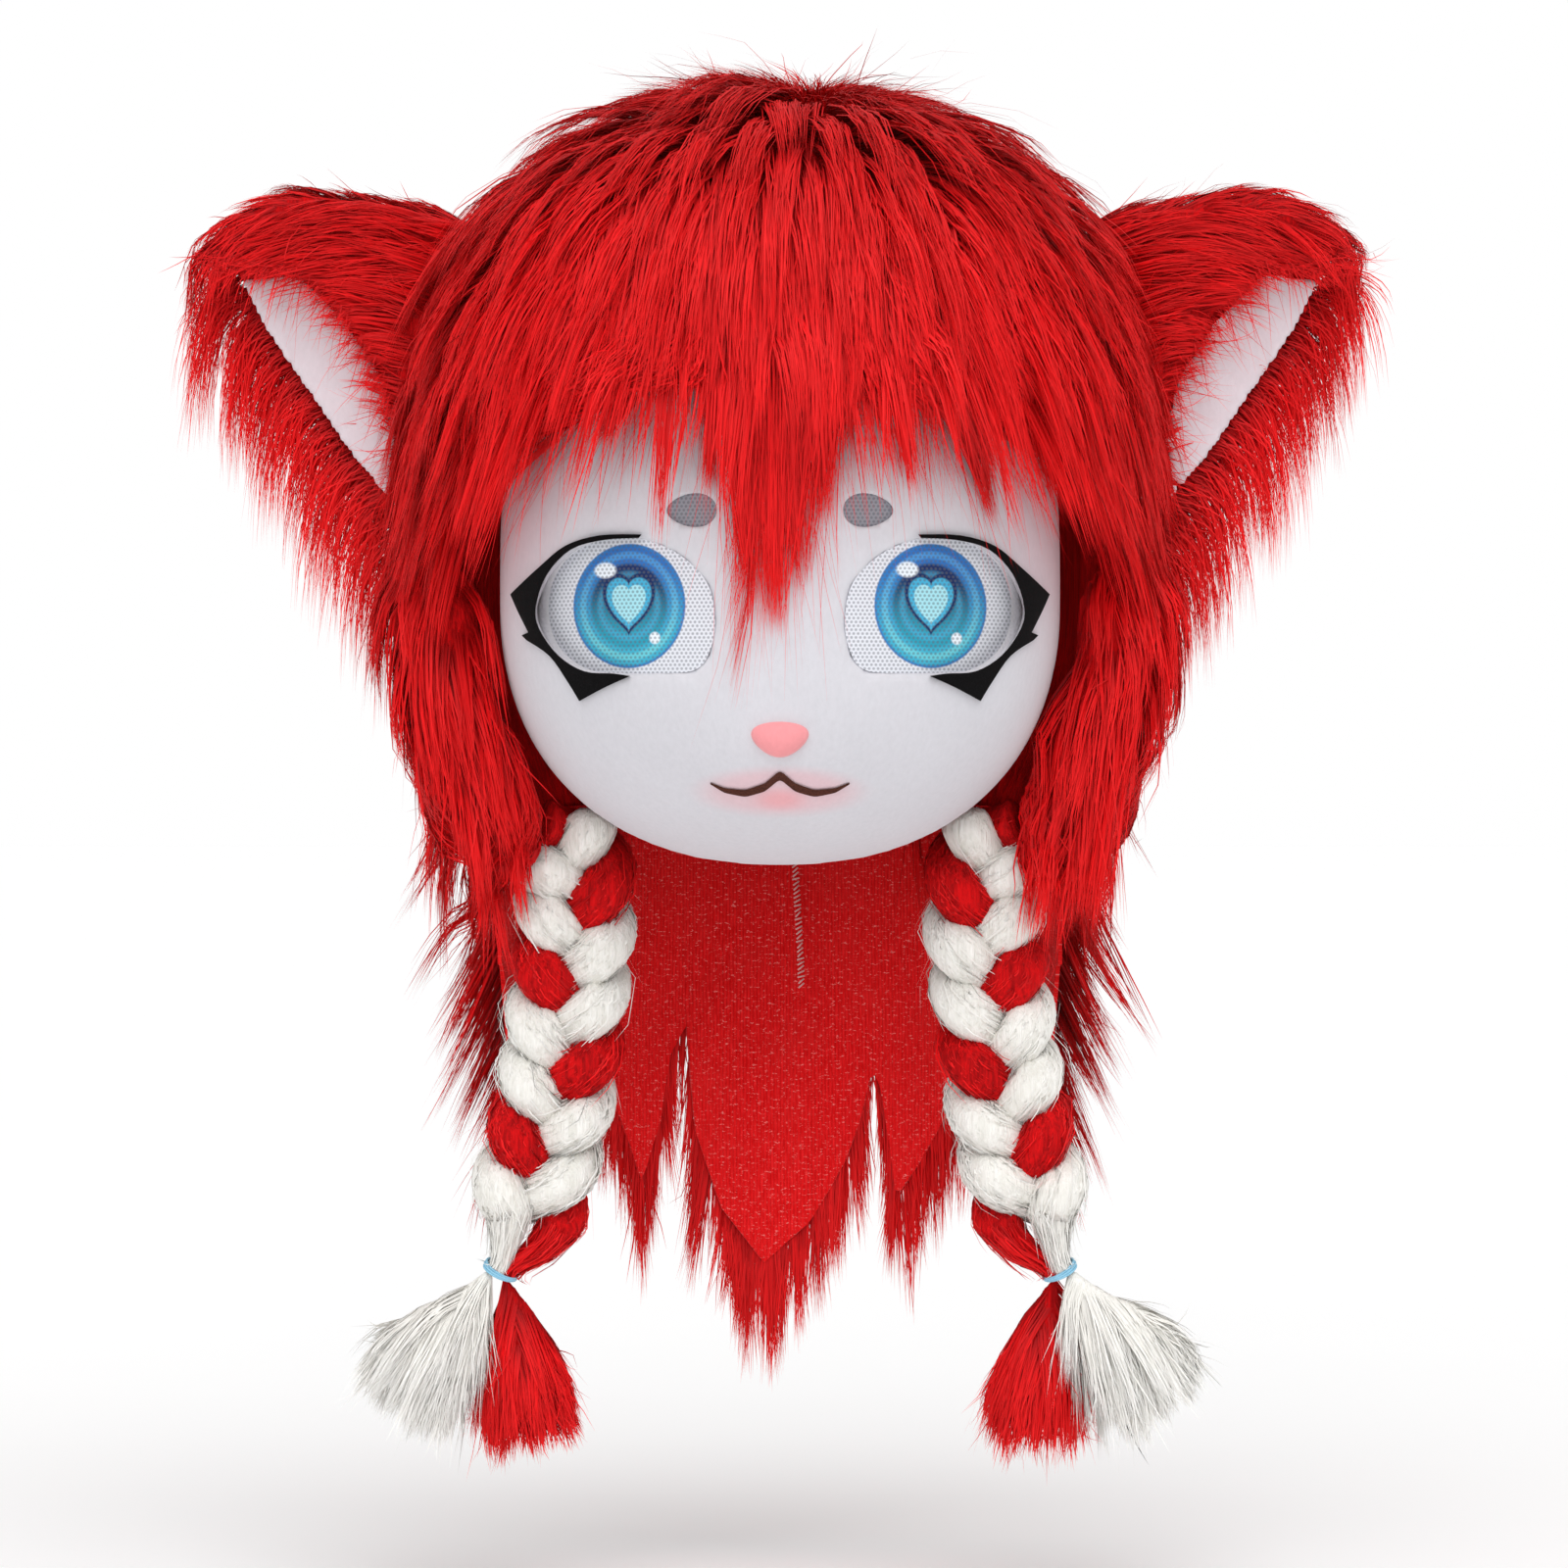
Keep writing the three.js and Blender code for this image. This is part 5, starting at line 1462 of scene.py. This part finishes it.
def make_neck_fur():
    """Pile on the outer side of the flap and its petals, which hangs past their edges."""
    def shorter(co):
        return np.stack([co[:, 0], co[:, 1], FLAP_TOP_Z + 13 + (co[:, 2] - FLAP_TOP_Z) * 0.34], 1)

    form = under_form("neck_fur", "neck_under_pile", voxel=4, sink=5, rule=shorter)

    def flow(place):
        run = np.zeros_like(place)
        edge = smoothstep(70, 112, np.abs(place[:, 0])) * smoothstep(-470, -360, place[:, 2])
        run[:, 0] = 0.10 * np.sin(place[:, 0] / 19.0) + np.sign(place[:, 0]) * 0.5 * edge
        run[:, 1] = 0.02
        run[:, 2] = -1
        return run

    def outwards(place, normal):
        return place[:, 0] * normal[:, 0] + (place[:, 1] - FLAP_FRONT_Y) * normal[:, 1]

    def keep(place, normal):
        out = outwards(place, normal) / np.maximum(np.hypot(place[:, 0], place[:, 1] - FLAP_FRONT_Y), 1)
        across = place[:, 0] / FLAP_HALF_WIDTH
        drop = (FLAP_TOP_Z - place[:, 2]) / FLAP_LENGTH
        sides = smoothstep(0.8, 0.98, np.abs(across))
        edge = smoothstep(0.7, 0.97, drop / flap_share(across))
        shown = np.where(out > 0.7, 1 + edge + 1.6 * sides, 0.0)
        for slit, apex in SLITS:
            bare = np.exp(-(((across - slit) / 0.05) ** 2)) * (drop > apex - 0.26) * (drop < apex + 0.03)
            shown = shown * (1 - 0.95 * bare)
        return shown

    def outside(paths):
        x, y = paths[..., 0], paths[..., 1] - FLAP_FRONT_Y
        reach = np.hypot(x / FLAP_HALF_WIDTH, y / (FLAP_BACK_Y - FLAP_FRONT_Y))
        least = 1.035 - 0.08 * smoothstep(-440, -500, paths[..., 2])
        grow = np.maximum(1, least / np.maximum(reach, 0.2))
        grow[:, 0] = 1
        return np.stack([x * grow, FLAP_FRONT_Y + y * grow, paths[..., 2]], -1)

    def keep_nape(place, normal):
        return np.where(outwards(place, normal) > 5, 1.0, 0.0)

    looks = {"weight": 0.1, "frizz": 1.4, "short": 0.4, "steps": 4, "lift": 0.5, "hold": outside}
    grow_pile("neck_pile", form, flow, count=6600, length=56, stand=6, width=0.9, seed=61, keep=keep,
              roots_on=flap, **looks)
    grow_pile("nape_pile", form, flow, count=3200, length=62, stand=4, width=1.0, seed=63, keep=keep_nape,
              **looks)


PETAL_LOCKS = 40
PETAL_FRINGE = 52


def make_petal_fringe():
    """Long hairs from behind the petals' cut edges, hanging past them in locks."""
    rng = np.random.default_rng(67)
    count, steps = 3600, 5
    across = rng.uniform(-0.84, 0.84, count)
    for slit, _ in SLITS[:2]:
        near = np.abs(across - slit) < 0.035
        across = np.where(near & (rng.random(count) < 0.7), across + np.sign(across - slit) * 0.06, across)
    deep = flap_share(across) * FLAP_LENGTH
    root = deep * (1 - 0.2 * rng.random(count) ** 1.3)
    locks = np.sort(rng.uniform(-0.86, 0.86, PETAL_LOCKS))
    lock = np.abs(across[:, None] - locks[None] + rng.normal(size=(count, PETAL_LOCKS)) * 0.006).argmin(1)
    past = (PETAL_FRINGE * rng.uniform(0.75, 1.1, PETAL_LOCKS))[lock] * rng.uniform(0.1, 1.0, count) ** 0.65
    reach = deep - root + past
    share = np.linspace(0, 1, steps + 1)[None]
    gather = (locks[lock] - across) * FLAP_HALF_WIDTH
    stray = (rng.normal(size=count) * 2.2)[:, None] * share**1.6
    x = (across * FLAP_HALF_WIDTH)[:, None] + (0.75 * gather)[:, None] * share + stray
    angle = np.arcsin(np.clip(x / FLAP_HALF_WIDTH, -0.95, 0.95))
    _, y = nape(angle, rng.uniform(2.5, 9, count)[:, None])
    z = FLAP_TOP_Z - root[:, None] - reach[:, None] * share
    paths = np.stack([x, y, z], -1) * MM
    ups = np.stack([np.sin(angle[:, 0]), np.cos(angle[:, 0]), np.zeros(count)], 1)
    hair_mesh("petal_fringe", paths, ups, 0.7, rng, lock_tones(rng, PETAL_LOCKS, lock))


make_neck_fur()
make_petal_fringe()


# Braids: three fluffy strands in a plait, gathered at an elastic
BRAID_ROWS = [(-0.04, 0.99), (0.12, 0.9), (0.33, 0.93), (0.59, 1.0), (0.74, 1.07), (0.9, 1.16), (1.0, 1.26)]
BRAID_POINTS = 241


def braid_axis(side):
    """Even points down the plait's centre line, in millimetres."""
    drop, across = read_off(BRAID_ROWS, np.linspace(0, len(BRAID_ROWS) - 1, BRAID_POINTS)).T
    across = eased(across, 200)
    line = np.stack([side * BRAID_TOP_X * across, np.full(BRAID_POINTS, float(BRAID_Y)),
                     FLAP_TOP_Z - drop * BRAID_DROP], 1)
    run = np.concatenate([[0], np.cumsum(np.linalg.norm(np.diff(line, axis=0), axis=1))])
    even = np.linspace(0, run[-1], BRAID_POINTS)
    return np.stack([np.interp(even, run, line[:, i]) for i in range(3)], 1), run[-1]


def strand_line(side, index, share):
    """The strand's centre, its run and its half sizes at shares of the plait's length."""
    axis, total = braid_axis(side)
    at = np.clip(share, 0, 1)
    fine = at * (BRAID_POINTS - 1)
    point = read_off(axis, fine)
    run = unit(read_off(np.gradient(axis, axis=0), fine))
    gather = np.clip((at - GATHER_FROM) / (GATHER_TO - GATHER_FROM), 0, 1)
    turn = (2 * np.pi * np.minimum(at - GATHER_FROM, 0) * total / PLAIT_PITCH + index * 2 * np.pi / 3
            + GATHER_TURN)
    across = unit(np.cross(np.array([[0.0, 1.0, 0.0]]), run)) * side
    wide = mix(PLAIT_HALF_WIDTH, TIE_OFFSET, gather**1.4)
    deep = mix(PLAIT_HALF_DEPTH, TIE_OFFSET * 1.25, gather**1.4)
    point = point + across * (wide * np.sin(turn))[:, None]
    point[:, 1] += deep * np.sin(2 * turn)
    thin = 1 - gather**0.8
    return point, mix(TIE_STRAND, STRAND_HALF_WIDTH, thin), mix(TIE_STRAND, STRAND_HALF_DEPTH, thin)


def strand_frame(side, index, share):
    point, wide, deep = strand_line(side, index, share)
    near = strand_line(side, index, share + 0.004)[0] - strand_line(side, index, share - 0.004)[0]
    run = unit(near)
    across = unit(np.cross(np.array([[0.0, 1.0, 0.0]]), run))
    depth = unit(np.cross(run, across))
    return point, wide, deep, across, depth


def make_strand(name, side, index, shade):
    rings, around = 120, 22
    share = np.linspace(0.004, 0.995, rings)
    point, wide, deep, across, depth = strand_frame(side, index, share)
    keep = point[:, 2] < FLAP_TOP_Z + 4
    point, wide, deep, across, depth = (v[keep] for v in (point, wide, deep, across, depth))
    rings = len(point)
    angle = np.linspace(0, 2 * np.pi, around, endpoint=False)
    lobes = 1 + 0.05 * np.sin(3 * angle[None] + 9 * share[keep][:, None])
    lobes = lobes + 0.03 * np.sin(7 * angle[None] + index)
    skin = (point[:, None] + across[:, None] * (wide[:, None] * lobes * np.cos(angle))[..., None]
            + depth[:, None] * (deep[:, None] * lobes * np.sin(angle))[..., None])
    verts = list(map(tuple, skin.reshape(-1, 3) * MM)) + [tuple(point[0] * MM), tuple(point[-1] * MM)]
    faces = [[i * around + j, i * around + (j + 1) % around, (i + 1) * around + (j + 1) % around,
              (i + 1) * around + j] for i in range(rings - 1) for j in range(around)]
    last = rings * around
    faces += [[last, (j + 1) % around, j] for j in range(around)]
    faces += [[last + 1, last - around + j, last - around + (j + 1) % around] for j in range(around)]
    mesh = bpy.data.meshes.new(name)
    mesh.from_pydata(verts, [], faces)
    piece = outward(placed(name, mesh))
    named(piece, name, finish[shade + "_under"])
    smooth_shade(piece)
    return seat(piece, shade + "_fur", name[:-5])


def make_strand_hairs(name, side, index, shade, seed):
    """Fibres that run along the strand on its skin, with loose ends that stand off."""
    rng = np.random.default_rng(seed)
    count, steps = 1150, 4
    start = rng.uniform(0.0, 0.93, count)
    reach = rng.uniform(0.07, 0.2, count)
    phase = rng.uniform(0, 2 * np.pi, count)
    drift = rng.normal(size=count) * 0.35
    loose = np.where(rng.random(count) < 0.16, rng.uniform(2, 7, count), rng.uniform(0.1, 1.3, count))
    rows = []
    for k in range(steps + 1):
        share = np.clip(start + reach * k / steps, 0, 0.985)
        point, wide, deep, across, depth = strand_frame(side, index, share)
        turn = phase + drift * k / steps
        stand = 0.2 + loose * (k / steps) ** 2
        rows.append(point + across * ((wide + stand) * np.cos(turn))[:, None]
                    + depth * ((deep + stand) * np.sin(turn))[:, None])
    paths = np.stack(rows, 1)
    paths[:, :, 2] = np.minimum(paths[:, :, 2], FLAP_TOP_Z + 6)
    ups = unit(paths[:, 0] - strand_frame(side, index, start)[0])
    hair_mesh(name + "_hairs", paths * MM, ups, 1.0, rng, rng.random(count), shade)


TIE_TURNS = ((-0.8, 7.1), (0.0, 7.3), (0.8, 7.1))


def make_tie(name, side):
    """Three turns of thin elastic round the gathered plait."""
    axis, _ = braid_axis(side)
    run = unit(axis[-1] - axis[-8])
    middle = axis[-1] - run * TIE_FROM_END
    tilt = Vector(run).to_track_quat("Z", "Y").to_euler()
    parts = []
    for k, (shift, radius) in enumerate(TIE_TURNS):
        parts.append(added(bpy.ops.mesh.primitive_torus_add, major_segments=40, minor_segments=10,
                           major_radius=radius * MM, minor_radius=0.5 * MM,
                           location=tuple((middle + run * shift) * MM),
                           rotation=(tilt.x + 0.05 * (k - 1), tilt.y - side * 0.3, tilt.z)))
    piece = joined(parts[0], parts)
    bpy.ops.object.transform_apply(location=True, rotation=True, scale=True)
    named(piece, "elastic_" + name, finish["elastic"])
    smooth_shade(piece)
    return seat(piece, "blue_elastic", "hair_tie_" + name)


def make_tassel(name, side, shade, seed, count):
    axis, _ = braid_axis(side)
    start = axis[-1]
    node = "tassel_%s_%s" % (name, shade)

    def shorter(co):
        near = smoothstep(14, 0, np.linalg.norm(co - start, axis=1))
        return start + (co - start) * np.array([0.86, 0.9, 0.86]) + np.array([0, 0, 6.0]) * near[:, None]

    form = under_form(node, node + "_under", 2.5, 1.5, shade + "_under", shade + "_fur", rule=shorter)

    def flow(place):
        run = unit(place - start - np.array([0, 0, 10.0]))
        run[:, 2] -= 0.25
        return run

    def length(place):
        return np.clip(62 - 0.75 * np.linalg.norm(place - start, axis=1), 16, 50)

    grow_pile(node + "_hairs", form, flow, count, length, stand=2.5, width=0.75, seed=seed, shade=shade,
              lift=0.35, weight=0.2, clump=0.4, short=0.4, frizz=1.3, stray=0.08, steps=4)


def make_braid(name, side):
    for index, strand in enumerate(("red", "white_a", "white_b")):
        shade = strand.split("_")[0]
        node = "braid_%s_%s" % (name, strand)
        make_strand(node + "_wool", side, index, shade)
        make_strand_hairs(node, side, index, shade, 71 + index + 5 * (side > 0))
    make_tie(name, side)
    make_tassel(name, side, "white", seed=81 + side, count=3600)
    make_tassel(name, side, "red", seed=85 + side, count=2600)


for word, sign in SIDES:
    make_braid(word, sign)


# Floor and light
FLOOR_Z = -0.575
ROOM_LIGHT = 0.5


def make_stage():
    floor = added(bpy.ops.mesh.primitive_plane_add, size=60, location=(0, 0, FLOOR_Z))
    floor.name = "floor"
    made, maths, shader = material("pale_floor", 0.9, specular=0.1)
    grain = maths.noise(maths.place(), 3.0, 3.0)
    maths.put(shader.inputs["Base Color"], maths.blend(grain, (0.985, 0.985, 0.985, 1), (1.0, 1.0, 1.0, 1)))
    floor.data.materials.append(made)
    world = bpy.data.worlds.new("studio")
    world.use_nodes = True
    tree = world.node_tree
    shown = tree.nodes.new("ShaderNodeLightPath").outputs["Is Camera Ray"]
    strength = Maths(tree).do("MULTIPLY_ADD", shown, 1 - ROOM_LIGHT, ROOM_LIGHT)
    tree.links.new(strength, tree.nodes["Background"].inputs["Strength"])
    tree.nodes["Background"].inputs["Color"].default_value = (1, 1, 1, 1)
    bpy.context.scene.world = world
    bpy.context.scene.view_settings.view_transform = "Standard"


def make_sun(name, turn, spread, power):
    data = bpy.data.lights.new(name, "SUN")
    data.energy = power
    data.angle = spread
    light = placed(name, data)
    light.rotation_euler = [math.radians(value) for value in turn]


make_stage()
make_sun("overhead_softbox", (34, 0, 8), 1.1, 1.9)
make_sun("front_softbox", (82, 0, -14), 0.9, 0.55)
